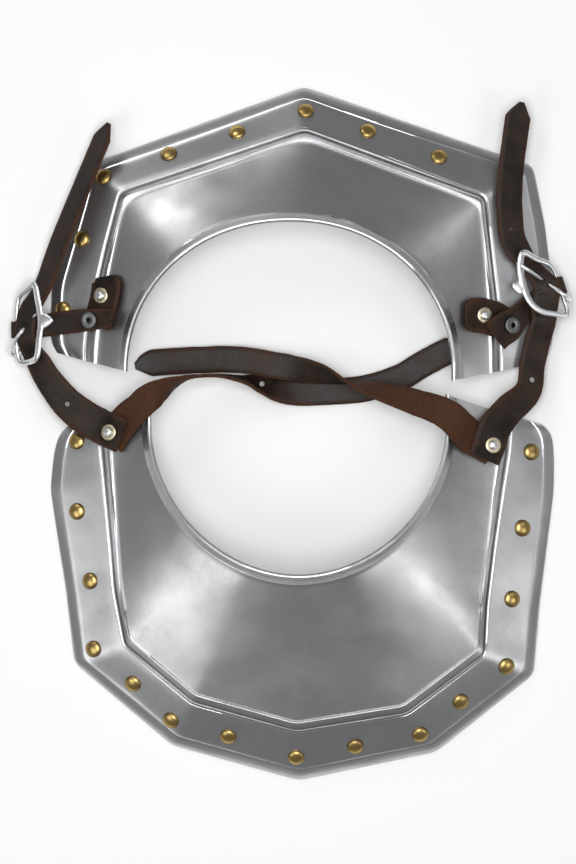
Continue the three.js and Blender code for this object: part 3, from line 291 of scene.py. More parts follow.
PRONG_RIGHT = table(
    BarRow,
    (161.7, 84.3, 7, 2, 2), (164.4, 82.2, 6, 2, 2), (166.8, 80.4, 8, 2, 2), (167.5, 79.9, 12, 2, 2),
    (166.5, 81, 16.4, 2.2, 2.2), (163.8, 82.8, 18.6, 2.2, 2.2), (160.2, 85.5, 17.8, 2.2, 2.2),
    (156, 88.5, 15, 2.2, 2.2), (152.1, 91.2, 13.6, 2.2, 2.2), (148.8, 93.3, 15.8, 2.2, 2.2),
    (144, 96.5, 20.6, 2.2, 2.2), (139.8, 99.3, 21.6, 2, 2), (137.1, 101.1, 21.4, 1.5, 1.5),
)
PRONG_LEFT = table(
    BarRow,
    (-151.9, 71.4, 17.8, 1.4, 1.4), (-153.9, 68.7, 14.4, 1.8, 1.8), (-156.3, 65.7, 12.4, 2.2, 2.2),
    (-158.4, 63.3, 13.6, 2.2, 2.2), (-160.5, 60.9, 16, 2.2, 2.2), (-163.2, 57.3, 14.4, 2.2, 2.2),
    (-165.9, 53.1, 10.4, 2.2, 2.2), (-167.6, 49.8, 6.4, 2.2, 2.2), (-167.2, 47.7, 3.3, 2.2, 2.2),
    (-165, 46.8, 2.2, 2, 2), (-162.6, 47.7, 2.5, 2, 2), (-160.7, 49.5, 5.4, 2, 2),
    (-161.6, 51.4, 8.3, 2, 2), (-162.8, 52, 9.8, 1.8, 1.8),
)

# Materials

Colour = tuple[float, float, float]
Socket = bpy.types.NodeSocket


class Tree:
    """Adds and joins the nodes of a node tree in few words."""

    def __init__(self, tree: bpy.types.NodeTree) -> None:
        """Keeps the tree."""
        self.tree = tree

    def feed(self, node: bpy.types.Node, inputs: dict) -> None:
        """Sets or links a node's inputs.

        Args:
            node: the node.
            inputs: a number, colour or output socket for each input, by its name or place.
        """
        for name, value in inputs.items():
            if isinstance(value, Socket):
                self.tree.links.new(value, node.inputs[name])
            else:
                node.inputs[name].default_value = value

    def add(self, kind: str, inputs: dict | None = None, **settings: object) -> bpy.types.Node:
        """Adds a node.

        Args:
            kind: the node's type name.
            inputs: what its inputs get.
            settings: the node's own settings.

        Returns:
            The new node.
        """
        node = self.tree.nodes.new(kind)
        for name, value in settings.items():
            setattr(node, name, value)
        self.feed(node, inputs or {})
        return node

    def math(self, operation: str, *values: object) -> Socket:
        """Works out one number from others."""
        return self.add("ShaderNodeMath", dict(enumerate(values)), operation=operation).outputs[0]

    def mix(self, factor: object, first: object, second: object) -> Socket:
        """Blends two colours by a factor."""
        a, b = (value if isinstance(value, Socket) else (*value, 1.0) for value in (first, second))
        return self.add("ShaderNodeMix", {0: factor, 6: a, 7: b}, data_type="RGBA").outputs[2]

    def span(self, value: Socket, low: float, high: float, *to: float) -> Socket:
        """Maps a range of numbers to another one, or to 0 and 1, and stops at its ends."""
        return self.add("ShaderNodeMapRange", dict(enumerate((value, low, high, *to)))).outputs[0]

    def noise(self, place: Socket, scale: object, detail: float = 3.0, rough: float = 0.5) -> Socket:
        """Soft noise between 0 and 1."""
        inputs = {"Vector": place, "Scale": scale, "Detail": detail, "Roughness": rough}
        return self.add("ShaderNodeTexNoise", inputs).outputs["Fac"]

    def painted(self, name: str) -> Socket:
        """Reads a number that was painted on the vertices."""
        return self.add("ShaderNodeAttribute", attribute_name=name).outputs["Fac"]

    def bump(self, strength: float, distance: float, height: Socket, **more: Socket) -> Socket:
        """A normal that follows a height."""
        inputs = {"Strength": strength, "Distance": distance, "Height": height, **more}
        return self.add("ShaderNodeBump", inputs).outputs[0]


def new_group(name: str, inputs: dict[str, float], *outputs: str) -> tuple[Tree, dict, bpy.types.Node]:
    """Starts a shared node group.

    Args:
        name: the group's name.
        inputs: the name and value of each input after the vector Place.
        outputs: the names of the values that it gives.

    Returns:
        The group's tree, its input sockets by name and its last node.
    """
    group = bpy.data.node_groups.new(name, "ShaderNodeTree")
    group.interface.new_socket("Place", in_out="INPUT", socket_type="NodeSocketVector")
    for label, value in inputs.items():
        socket = group.interface.new_socket(label, in_out="INPUT", socket_type="NodeSocketFloat")
        socket.default_value = value
    for label in outputs:
        group.interface.new_socket(label, in_out="OUTPUT", socket_type="NodeSocketFloat")
    tree = Tree(group)
    start, end = tree.add("NodeGroupInput"), tree.add("NodeGroupOutput")
    return tree, {socket.name: socket for socket in start.outputs}, end


@cache
def scratches_group() -> bpy.types.NodeTree:
    """Fine hand-finishing scratches in three directions: their height, and a mask of the deeper ones.

    Returns:
        The node group.
    """
    tree, start, end = new_group("fine_scratches", {"Fineness": 1.0}, "Height", "Deep")
    directions = ((0.35, 30.0), (1.45, 24.0), (2.5, 36.0))
    total, deep = 0.0, 0.0
    for turn, stretch in directions:
        inputs = {"Vector": start["Place"], "Angle": turn}
        spun = tree.add("ShaderNodeVectorRotate", inputs, rotation_type="Z_AXIS").outputs[0]
        inputs = {0: spun, 1: (stretch, 1.0, 1.0)}
        long = tree.add("ShaderNodeVectorMath", inputs, operation="MULTIPLY").outputs[0]
        line = tree.noise(long, tree.math("MULTIPLY", start["Fineness"], 55.0), 4.0)
        total = tree.math("ADD", total, line)
        deep = tree.math("MAXIMUM", deep, tree.span(line, 0.66, 0.74))
    tree.feed(end, {"Height": tree.math("DIVIDE", total, float(len(directions))), "Deep": deep})
    return tree.tree


@cache
def tarnish_and_shade_group() -> bpy.types.NodeTree:
    """Cloudy tarnish, plus painted shade and stains gathered where a second number is high: its mask, and the
    clouds alone.

    Returns:
        The node group.
    """
    tree, start, end = new_group("tarnish_and_shade", {"Gather": 0.0, "Amount": 0.3}, "Mask", "Cloud")
    cloud = tree.noise(start["Place"], 26.0, 6.0, 0.62)
    speck = tree.noise(start["Place"], 420.0)
    both = tree.math("MULTIPLY", tree.span(cloud, 0.35, 0.72), tree.span(speck, 0.35, 0.65, 0.5, 1.0))
    held = tree.math("MULTIPLY", start["Gather"], tree.span(cloud, 0.25, 0.6, 0.45, 1.0))
    mask = tree.math("MAXIMUM", tree.math("MULTIPLY", both, start["Amount"]), held)
    tree.feed(end, {"Mask": mask, "Cloud": cloud})
    return tree.tree


def new_material(name: str) -> tuple[bpy.types.Material, Tree, bpy.types.Node]:
    """Starts a material.

    Args:
        name: the material's name.

    Returns:
        The material, its tree and its surface node.
    """
    material = bpy.data.materials.new(name)
    material.use_nodes = True
    surface = next(node for node in material.node_tree.nodes if node.type == "BSDF_PRINCIPLED")
    return material, Tree(material.node_tree), surface


class Slot(Enum):
    """Material slots."""

    STEEL = "steel"
    BRASS = "brass"
    NICKEL = "nickel"
    LEATHER = "leather"


class Gather(Enum):
    """Where painted shade gathers with tarnish, besides the tarnish clouds."""

    NOWHERE = "nowhere"
    SHADED_RIM = "rim"
    SHADED_GROOVE = "groove"

    def mask(self, tree: Tree, place: Socket) -> object:
        """Marks where painted shade gathers with tarnish.

        Args:
            tree: the material's tree.
            place: the object's own coordinates.

        Returns:
            A number or a socket, from 0 to 1.
        """
        # Painted shade and tarnish: the outer part of a rivet's dome or an eyelet's ring is darkened towards
        # its rim, broken up by clouds.
        if self is Gather.SHADED_RIM:
            return tree.span(tree.painted("rim"), 0.60, 0.98, 0.0, 0.9)
        if self is Gather.NOWHERE:
            return 0.0
        # Painted shade: the crease groove is darkened in the tarnish colour; the stains and spots are real
        # tarnish.
        groove = tree.math("MULTIPLY", tree.painted("groove"), 0.65)
        spots = tree.span(tree.noise(place, 170.0, 2.0), 0.74, 0.80)
        stains = tree.math("MULTIPLY", tree.span(tree.noise(place, 9.0, 5.0, 0.6), 0.54, 0.72), 0.30)
        marks = tree.math("MAXIMUM", stains, tree.math("MULTIPLY", spots, 0.45))
        return tree.math("MAXIMUM", groove, marks)


@dataclass(frozen=True)
class MetalFinish:
    """A metal with scratches, tarnish and painted shade.

    Attributes:
        name: the material's name.
        slot: its material slot; not used.
        colour: its colour where clean.
        patina_and_shade: its colour where tarnished, and the colour of the painted shade in the crease groove
            and round rims.
        bright: its roughness where clean.
        dull: its roughness where tarnished.
        gather: where painted shade gathers with tarnish, besides the tarnish clouds.
        amount: how much tarnish lies in the clouds.
        fineness: how fine the scratches are.
        relief: how deep the scratches are, in metres.
        waviness: how high the hammered waves stand, in metres.
    """

    name: str
    slot: Slot
    colour: Colour
    patina_and_shade: Colour
    bright: float
    dull: float
    gather: Gather
    amount: float
    fineness: float
    relief: float
    waviness: float = 0.0

    @cache
    def material(self) -> bpy.types.Material:
        """Builds the material once.

        Returns:
            The material.
        """
        material, tree, surface = new_material(self.name)
        place = tree.add("ShaderNodeTexCoord").outputs["Object"]
        inputs = {"Place": place, "Fineness": self.fineness}
        scratch = tree.add("ShaderNodeGroup", inputs, node_tree=scratches_group()).outputs
        inputs = {"Place": place, "Gather": self.gather.mask(tree, place), "Amount": self.amount}
        tarnish_and_shade = tree.add("ShaderNodeGroup", inputs, node_tree=tarnish_and_shade_group()).outputs
        rough = tree.span(tarnish_and_shade["Cloud"], 0.3, 0.7, self.bright, self.bright + 0.07)
        rough = tree.math("ADD", rough, tree.math("MULTIPLY", tarnish_and_shade["Mask"], self.dull - self.bright))
        wave = tree.bump(1.0, self.waviness, tree.noise(place, 16.0, 2.0))
        # The dark colour marks tarnish, and painted shade in the crease groove and round rims.
        tree.feed(surface, {
            "Base Color": tree.mix(tarnish_and_shade["Mask"], self.colour, self.patina_and_shade),
            "Roughness": tree.math("ADD", rough, tree.math("MULTIPLY", scratch["Deep"], 0.06)),
            "Metallic": 1.0,
            "Normal": tree.bump(0.5, self.relief, scratch["Height"], Normal=wave),
        })
        return material


@dataclass(frozen=True)
class LeatherFinish:
    """Leather with a dark grain side, and a rougher flesh side and edges.

    Attributes:
        name: the material's name.
        slot: its material slot; not used.
        grain: colour of the grain side.
        worn: the grain side's colour where worn.
        flesh: colour of the flesh side.
        rough: the grain side's roughness.
        gloss: how strongly it mirrors.
        pebbles: how fine its pebbled grain and its fibres are.
    """

    name: str
    slot: Slot
    grain: Colour
    worn: Colour
    flesh: Colour
    rough: float
    gloss: float
    pebbles: float

    @cache
    def material(self) -> bpy.types.Material:
        """Builds the material once.

        Returns:
            The material.
        """
        material, tree, surface = new_material(self.name)
        place = tree.add("ShaderNodeTexCoord").outputs["Object"]
        inputs = {"Vector": place, "Scale": self.pebbles}
        cells = tree.add("ShaderNodeTexVoronoi", inputs, feature="SMOOTH_F1").outputs["Distance"]
        pebble = tree.span(cells, 0.15, 0.75)
        wrinkle = tree.noise(place, 160.0, 5.0, 0.6)
        hide = tree.math("ADD", tree.math("MULTIPLY", pebble, -0.6), tree.math("MULTIPLY", wrinkle, 0.9))
        cloud = tree.noise(place, 60.0, 5.0, 0.6)
        fibre = tree.noise(place, self.pebbles, 4.0, 0.7)
        grain = tree.mix(tree.math("MULTIPLY", tree.span(cloud, 0.42, 0.75), 0.8), self.grain, self.worn)
        dark_flesh = tuple(0.45 * level for level in self.flesh)
        flesh = tree.mix(tree.span(fibre, 0.3, 0.7), dark_flesh, self.flesh)
        edge = tree.math("MULTIPLY", tree.painted("edge"), tree.span(cloud, 0.35, 0.6, 0.2, 0.75))
        side = tree.math("MAXIMUM", tree.span(tree.painted("flesh"), 0.35, 0.65), edge)
        matt = tree.span(cloud, 0.3, 0.7, self.rough - 0.08, self.rough + 0.1)
        fuzz = tree.math("MULTIPLY", tree.math("MULTIPLY", fibre, side), 1.2)
        tree.feed(surface, {
            "Base Color": tree.mix(side, grain, flesh),
            "Roughness": tree.math("ADD", tree.math("MULTIPLY", side, 0.4), matt),
            "Specular IOR Level": self.gloss,
            "Normal": tree.bump(0.7, 0.00025, tree.math("ADD", hide, fuzz)),
        })
        return material


# Steel: painted shade darkens its crease groove, besides its tarnish stains and spots.
STEEL = MetalFinish(
    "satin_steel", Slot.STEEL, colour=(0.595, 0.60, 0.61), patina_and_shade=(0.12, 0.115, 0.115), bright=0.30, dull=0.42,
    gather=Gather.SHADED_GROOVE, amount=0.26, fineness=1.0, relief=0.00003, waviness=0.0014,
)
# Brass rivets: painted shade and tarnish darken each dome towards its rim.
BRASS = MetalFinish(
    "worn_brass", Slot.BRASS, colour=(0.60, 0.43, 0.16), patina_and_shade=(0.085, 0.055, 0.025), bright=0.24, dull=0.42,
    gather=Gather.SHADED_RIM, amount=0.60, fineness=2.0, relief=0.00006,
)
PALE_BRASS = MetalFinish(
    "pale_brass", Slot.BRASS, colour=(0.80, 0.72, 0.52), patina_and_shade=(0.25, 0.19, 0.11), bright=0.34, dull=0.45,
    gather=Gather.NOWHERE, amount=0.40, fineness=2.0, relief=0.00004,
)
NICKEL = MetalFinish(
    "nickel_plate", Slot.NICKEL, colour=(0.90, 0.91, 0.93), patina_and_shade=(0.30, 0.29, 0.28), bright=0.30, dull=0.42,
    gather=Gather.NOWHERE, amount=0.30, fineness=2.0, relief=0.00002,
)
# Eyelets: painted shade and tarnish darken each ring towards its outer rim.
DULL_NICKEL = MetalFinish(
    "dull_nickel", Slot.NICKEL, colour=(0.30, 0.31, 0.31), patina_and_shade=(0.07, 0.065, 0.06), bright=0.34, dull=0.50,
    gather=Gather.SHADED_RIM, amount=0.60, fineness=2.0, relief=0.00004,
)
LEATHER = LeatherFinish(
    "brown_leather", Slot.LEATHER, grain=(0.0095, 0.0058, 0.0042), worn=(0.042, 0.020, 0.0115),
    flesh=(0.082, 0.032, 0.014), rough=0.47, gloss=0.28, pebbles=900.0,
)


def dress(obj: bpy.types.Object, node: str, finish: MetalFinish | LeatherFinish) -> bpy.types.Object:
    """Puts a piece in the place of its CAD node, with its finish, on the gorget's one body, and reports it.

    Args:
        obj: the piece.
        node: the CAD node that it stands for.
        finish: its finish.

    Returns:
        The same piece.
    """
    obj.data.materials.clear()
    obj.data.materials.append(finish.material())
    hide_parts(node)
    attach(obj, "root")
    LOG.info("built %s, %s", node, finish.name)
    return obj


# Curves and meshes


def spline(points: np.ndarray, steps: np.ndarray, closed: bool = False) -> tuple[np.ndarray, np.ndarray]:
    """Runs a smooth curve through rows of numbers.

    Args:
        points: the rows, one for each station.
        steps: where to read the curve, counted in rows.
        closed: whether the last row is followed by the first one.

    Returns:
        The curve's values and its tangents at the steps.
    """
    if closed:
        padded, spans = np.vstack([points[-1:], points, points[:2]]), len(points)
    else:
        ends = 2 * points[:1] - points[1:2], 2 * points[-1:] - points[-2:-1]
        padded, spans = np.vstack([ends[0], points, ends[1]]), len(points) - 1
    first = np.minimum(np.floor(steps).astype(int), spans - 1)
    share = (steps - first)[:, None]
    p0, p1, p2, p3 = (padded[first + k] for k in range(4))
    t1, t2 = 0.5 * (p2 - p0), 0.5 * (p3 - p1)
    c2 = -3 * p1 + 3 * p2 - 2 * t1 - t2
    c3 = 2 * p1 - 2 * p2 + t1 + t2
    values = p1 + share * (t1 + share * (c2 + share * c3))
    return values, t1 + share * (2 * c2 + share * 3 * c3)


def unit(vectors: np.ndarray) -> np.ndarray:
    """Scales each row to length one."""
    return vectors / np.maximum(np.linalg.norm(vectors, axis=-1, keepdims=True), 1e-9)


def heading(turn: float, rise: float) -> Vector:
    """The direction at a turn and a rise in degrees."""
    turn, rise = math.radians(turn), math.radians(rise)
    return Vector((math.cos(turn) * math.cos(rise), math.sin(turn) * math.cos(rise), math.sin(rise)))


def mesh_object(name: str, verts: Sequence, faces: Sequence, smooth: float = 40.0) -> bpy.types.Object:
    """Makes an object from vertices in millimetres.

    Args:
        name: the object's name.
        verts: vertex places in millimetres.
        faces: vertex numbers of each face.
        smooth: edges flatter than this many degrees are shaded smooth.

    Returns:
        The new object, with its faces turned outward.
    """
    mesh = bpy.data.meshes.new(name)
    mesh.from_pydata([tuple(float(c) * MM for c in v) for v in verts], [], list(faces))
    work = bmesh.new()
    work.from_mesh(mesh)
    bmesh.ops.recalc_face_normals(work, faces=work.faces)
    work.to_mesh(mesh)
    work.free()
    mesh.shade_smooth()
    mesh.set_sharp_from_angle(angle=math.radians(smooth))
    obj = bpy.data.objects.new(name, mesh)
    bpy.context.scene.collection.objects.link(obj)
    return obj


def paint(obj: bpy.types.Object, name: str, values: Sequence[float]) -> None:
    """Stores one number a vertex under a name that the materials read."""
    layer = obj.data.attributes.new(name, "FLOAT", "POINT")
    layer.data.foreach_set("value", np.asarray(values, dtype=np.float32))


def ring_faces(rings: int, count: int, closed: bool = False) -> list[tuple[int, ...]]:
    """Numbers the faces of a body through rings of equal count.

    Args:
        rings: how many rings there are.
        count: how many vertices a ring has.
        closed: whether the last ring joins the first one, so that no caps close the ends.

    Returns:
        The vertex numbers of each face, the caps last.
    """
    faces = []
    for i in range(rings if closed else rings - 1):
        here, after = i * count, (i + 1) % rings * count
        for k in range(count):
            m = (k + 1) % count
            faces.append((here + k, after + k, after + m, here + m))
    if not closed:
        faces += [tuple(range(count)), tuple((rings - 1) * count + k for k in reversed(range(count)))]
    return faces


def lathed(name: str, profile: Sequence[tuple[float, float]], point: Vector, normal: Vector,
           sides: int = 28) -> bpy.types.Object:
    """Turns a closed profile round an axis.

    Args:
        name: the object's name.
        profile: its (radius, height) points; a profile that starts and ends on the axis is a solid.
        point: the foot of the axis, in millimetres.
        normal: the axis.
        sides: how many sides a turn has.

    Returns:
        The new object, with the attribute rim: 0 on the axis and 1 at the widest place.
    """
    turn = UP.rotation_difference(normal)
    verts, faces, rim, rings = [], [], [], []
    widest = max(radius for radius, _ in profile)
    for radius, height in profile:
        tip = radius < 1e-6
        rings.append((len(verts), tip))
        for angle in [0.0] if tip else [math.tau * k / sides for k in range(sides)]:
            spot = Vector((radius * math.cos(angle), radius * math.sin(angle), height))
            verts.append(point + turn @ spot)
            rim.append(radius / widest)
    hollow = not rings[0][1]
    for (a, a_tip), (b, b_tip) in zip(rings, rings[1:] + rings[:1] if hollow else rings[1:]):
        for k in range(sides):
            m = (k + 1) % sides
            if a_tip:
                faces.append((a, b + k, b + m))
            elif b_tip:
                faces.append((a + k, a + m, b))
            else:
                faces.append((a + k, a + m, b + m, b + k))
    obj = mesh_object(name, verts, faces)
    paint(obj, "rim", rim)
    return obj


def baked(obj: bpy.types.Object) -> bpy.types.Object:
    """Applies an object's modifiers.

    Args:
        obj: the object.

    Returns:
        The same object, with its shaped mesh.
    """
    bpy.context.view_layer.update()
    shaped = bpy.data.meshes.new_from_object(obj.evaluated_get(bpy.context.evaluated_depsgraph_get()))
    obj.modifiers.clear()
    obj.data = shaped
    return obj


def joined(obj: bpy.types.Object, tool: bpy.types.Object, how: str) -> bpy.types.Object:
    """Cuts a body out of another one, or adds it, and removes the tool.

    Args:
        obj: the body that stays.
        tool: the body that is cut out or added.
        how: DIFFERENCE or UNION.

    Returns:
        The body that stays.
    """
    step = obj.modifiers.new("step", "BOOLEAN")
    step.operation, step.solver, step.object = how, "MANIFOLD", tool
    baked(obj)
    bpy.data.objects.remove(tool, do_unlink=True)
    return obj


def rod(point: Vector, normal: Vector, radius: float, reach: float) -> bpy.types.Object:
    """A rod through a point, to cut holes with, in millimetres."""
    profile = [(0.0, -reach), (radius, -reach), (radius, reach), (0.0, reach)]
    return lathed("tool", profile, point, normal, 20)


def sweep(name: str, rows: Sequence[BarRow], plane: Vector, closed: bool = False, more: float = 0.0,
          sides: int = 12, cuts: int = 7) -> bpy.types.Object:
    """Sweeps a rounded bar along its rows.

    Args:
        name: the object's name.
        rows: the bar's stations.
        plane: a direction square to the course.
        closed: whether the bar runs back into itself.
        more: how much thicker than its rows the bar is made, on each side.
        sides: how many sides the section has.
        cuts: how many steps lie between two rows.

    Returns:
        The new object.
    """
    spans = len(rows) if closed else len(rows) - 1
    steps = np.arange(spans * cuts + (0 if closed else 1)) / cuts
    values, tangents = spline(np.array(rows, dtype=float), steps, closed)
    centre, tangent = values[:, :3], unit(tangents[:, :3])
    side = unit(np.cross(np.array(plane), tangent))
    rise = np.cross(tangent, side)
    half = values[:, 3:5] / 2 + more
    if not closed and more == 0.0:
        taper = np.ones(len(steps))
        taper[[0, -1]], taper[[1, -2]] = 0.35, 0.85
        half = half * taper[:, None]
    turn = np.arange(sides) * math.tau / sides
    rings = (centre[:, None] + side[:, None] * (half[:, :1] * np.cos(turn))[:, :, None]
             + rise[:, None] * (half[:, 1:] * np.sin(turn))[:, :, None])
    return mesh_object(name, rings.reshape(-1, 3), ring_faces(len(steps), sides, closed), 50.0)


# Sheet steel plates


@dataclass
class Plate:
    """A steel plate with its rolled neck rim, sunk crease and turned-down outer band.

    Attributes:
        name: the CAD node that it stands for.
        neck: its neck rim.
        rows: its section stations.
        rivets: plan places of the brass rivets.
        step: longest way between two of its sections, in millimetres.
        cuts: how many steps lie between two points of the profile.
        roll_points: how many points of the profile make the solid neck roll, which has no inner face.
        hammering: how often the conical field's corners are smoothed.
    """

    name: str
    neck: Neck
    rows: Sequence[PlateRow]
    rivets: Sequence[tuple[float, float]]
    step: float = 3.2
    cuts: int = 4
    roll_points: int = 4
    hammering: int = 70
    tree: BVHTree | None = field(default=None, repr=False)

    def stations(self) -> np.ndarray:
        """Fine stations between the rows, each in the order of PlateRow, with softened plan corners.

        Returns:
            One row for each station.
        """
        table = np.array(self.rows, dtype=float)
        lines = [table[0]]
        for here, after in zip(table, table[1:]):
            arc = math.radians(abs(after[0] - here[0])) * self.neck.rx
            run = math.hypot(after[3] - here[3], after[4] - here[4])
            parts = max(2, math.ceil(max(arc, run) / self.step))
            lines.extend(here + (after - here) * k / parts for k in range(1, parts + 1))
        soft = np.array(lines)
        for _ in range(2):
            soft[1:-1] = 0.25 * soft[:-2] + 0.5 * soft[1:-1] + 0.25 * soft[2:]
        return soft

    def rim(self, degrees: float) -> np.ndarray:
        """The neck rim's place at an angle.

        Args:
            degrees: the angle in plan, counted from the x axis.

        Returns:
            Its plan place.
        """
        neck = self.neck
        c, s = math.cos(math.radians(degrees)), math.sin(math.radians(degrees))
        if s * neck.outward < 0:
            return np.array([neck.x + math.copysign(neck.rx, c), neck.y + neck.ry * s])
        x = math.copysign(abs(c) ** (2 / neck.power), c)
        y = math.copysign(abs(s) ** (2 / neck.power), s)
        return np.array([neck.x + neck.rx * x, neck.y + neck.ry * y])

    def section(self, line: np.ndarray) -> tuple[np.ndarray, np.ndarray, np.ndarray]:
        """One closed section of the plate.

        Args:
            line: a station, in the order of PlateRow.

        Returns:
            The places, how near each is to the crease's groove, and how far hammering may move it.
        """
        row = PlateRow(*line)
        rim, crease, edge = self.rim(row.neck), np.array(line[1:3]), np.array(line[3:5])
        crease_at = float(np.linalg.norm(crease - rim))
        edge_at = crease_at + float(np.linalg.norm(edge - crease))
        fold_z = row.crease_z * SIZES.fold_share
        origin = {"neck": (0.0, row.rim_z, 1.0), "crease": (crease_at, row.crease_z, 1.0),
                  "fold": (edge_at - SIZES.band, fold_z, fold_z), "edge": (edge_at, 0.0, 1.0)}
        coarse = np.array([(origin[p.line][0] + p.run, origin[p.line][1] + p.rise * origin[p.line][2])
                           for p in PROFILE])
        outer, _ = spline(coarse, np.arange((len(coarse) - 2) * self.cuts + 1) / self.cuts)
        outer = np.vstack([outer, coarse[-1:]])
        ahead = np.vstack([outer[1:], outer[-1:]]) - np.vstack([outer[:1], outer[:-1]])
        right = unit(np.stack([ahead[:, 1], -ahead[:, 0]], axis=1))
        inner = (outer + SIZES.sheet * right)[self.roll_points * self.cuts:-1]
        inner[-1] = (edge_at - SIZES.sheet, 0.0)
        outline = np.vstack([outer, inner[::-1]])
        run = outline[:, :1]
        inward, outward = (crease - rim) / crease_at, (edge - crease) / (edge_at - crease_at)
        plan = np.where(run < crease_at, rim + inward * run, crease + outward * (run - crease_at))
        # groove marks the crease groove, where the steel's painted shade is laid.
        groove = np.exp(-(((outline[:, 0] - crease_at + 0.6) / 1.5) ** 2))
        field_share = np.clip((outline[:, 0] / crease_at - 0.08) / 0.80, 0.0, 1.0)
        return np.column_stack([plan, outline[:, 1]]), groove, np.sin(math.pi * field_share)

    def build(self) -> bpy.types.Object:
        """Builds the plate, hammers its field's corners round, and keeps a search tree of its faces.

        Returns:
            The new object.
        """
        places, groove, freedom = (np.array(layer) for layer in zip(*map(self.section, self.stations())))
        for _ in range(self.hammering):
            places[1:-1] += freedom[1:-1, :, None] * (0.5 * (places[:-2] + places[2:]) - places[1:-1])
        verts, faces = places.reshape(-1, 3), ring_faces(*places.shape[:2])
        obj = mesh_object(self.name + "_shape", verts, faces, 55.0)
        paint(obj, "groove", groove.ravel())
        self.tree = BVHTree.FromPolygons([Vector(v) for v in verts], faces[:-2])
        return dress(obj, self.name, STEEL)

    def top(self, x: float, y: float) -> Vector:
        """The plate's top face straight under a plan place."""
        return self.tree.ray_cast(Vector((x, y, 200.0)), -UP)[0]

    def seat(self, x: float, y: float, radius: float) -> tuple[Vector, Vector]:
        """The spot and direction of a rivet that stands on the plate.

        Args:
            x: plan place of the rivet.
            y: plan place of the rivet.
            radius: how far round the rivet its seat reaches.

        Returns:
            The foot of the rivet's axis and the axis.
        """
        turns = [math.tau * k / 8 for k in range(8)]
        spots = [self.top(x + radius * math.cos(a), y + radius * math.sin(a)) for a in turns]
        normal = Vector()
        for here, after in zip(spots, spots[1:] + spots[:1]):
            normal += here.cross(after)
        normal.normalize()
        point = self.top(x, y)
        return point + normal * max(0.0, *((spot - point).dot(normal) for spot in spots)), normal

    def rivet_row(self, prefix: str) -> None:
        """Builds the brass rivets round the border, with a prefix and a number for each CAD node."""
        for number, (x, y) in enumerate(self.rivets, 1):
            BRASS_RIVET.build(f"{prefix}_{number:02d}", *self.seat(x, y, SIZES.brass_seat))


# Rivets, washer rings and eyelets


@dataclass(frozen=True)
class Turned:
    """A small metal fitting turned round its axis, in millimetres."""

    finish: MetalFinish

    def profile(self) -> list[tuple[float, float]]:
        """The (radius, height) points that are turned."""
        raise NotImplementedError

    def build(self, node: str, point: Vector, normal: Vector) -> bpy.types.Object:
        """Builds the fitting on its seat.

        Args:
            node: the CAD node that it stands for.
            point: the foot of its axis.
            normal: its axis.

        Returns:
            The new object.
        """
        return dress(lathed(node + "_shape", self.profile(), point, normal), node, self.finish)


@dataclass(frozen=True)
class Stud(Turned):
    """A domed rivet: its head's radius and height, and its shank's and its tail's radius.

    Attributes:
        base: height of the head's underside over the seat.
        below: depth of the tail under the seat.
        lip: height of the head's straight edge.
    """

    head: float
    crown: float
    shank: float
    tail: float
    base: float = 0.0
    below: float = 2.2
    lip: float = 0.3

    def profile(self) -> list[tuple[float, float]]:
        """Tail, shank, the head's underside and its dome.

        Returns:
            The rivet's (radius, height) points, from its foot to its top.
        """
        low, foot = -self.below, self.base - 0.1
        points = [(0.0, low - 0.8), (self.tail * 0.75, low - 0.7), (self.tail, low), (self.shank, low),
                  (self.shank, foot), (self.head * 0.97, foot)]
        for angle in map(math.radians, (0, 14, 28, 42, 56, 68, 80)):
            rise = (self.crown - self.lip) * math.sin(angle)
            points.append((self.head * math.cos(angle), self.base + self.lip + rise))
        return [*points, (0.0, self.base + self.crown)]


@dataclass(frozen=True)
class Ring(Turned):
    """A flat ring with rounded edges, a washer or an eyelet: its two radii and its thickness.

    Attributes:
        base: height of its underside over the seat.
        barrel: how deep an eyelet's barrel reaches under the seat, or 0.
    """

    inner: float
    outer: float
    thick: float
    base: float
    barrel: float = 0.0

    def profile(self) -> list[tuple[float, float]]:
        """Rim, top face, hole and, on an eyelet, its barrel.

        Returns:
            The ring's (radius, height) points, all the way round its section.
        """
        low, high, wall = self.base, self.base + self.thick, self.inner + 0.7
        points = [(self.outer, low), (self.outer, low + 0.35 * self.thick),
                  (self.outer - 0.25, low + 0.75 * self.thick), (self.outer - 0.9, high), (wall, high),
                  (self.inner, high - 0.3)]
        if self.barrel > 0.0:
            return [*points, (self.inner, -self.barrel), (wall, -self.barrel), (wall, low)]
        return [*points, (self.inner, low)]


BRASS_RIVET = Stud(BRASS, head=5.1, crown=2.35, shank=1.5, tail=2.5)


# Leather


class Station(NamedTuple):
    """One station of a leather ribbon in space."""

    point: Vector
    side: Vector
    width: float


def stations_from(rows: Sequence[RibbonRow]) -> list[Station]:
    """Turns a ribbon's table into stations in space."""
    return [Station(Vector(row[:3]), heading(row.across, row.lean), row.width) for row in rows]


def chape_stations(upper: Sequence[RibbonRow], heel: Heel, lower: Sequence[RibbonRow]) -> list[Station]:
    """Runs a chape from one end over its heel bar and back below itself.

    Args:
        upper: the rows of the layer on top.
        heel: the bar that it folds round.
        lower: the rows of the layer below.

    Returns:
        All its stations.
    """
    bar = Vector((heel.bar_x, heel.bar_y, 0.0)).normalized()
    away = (Vector((bar.y, -bar.x, 0.0)) * heel.hand).normalized()
    fold = []
    for turn in map(math.radians, (0, 45, 90, 135, 180)):
        point = Vector(heel[:3]) + UP * SIZES.fold_radius * math.cos(turn)
        fold.append(Station(point + away * SIZES.fold_radius * math.sin(turn), bar * heel.hand, heel.width))
    return [*stations_from(upper), *fold, *stations_from(lower)]


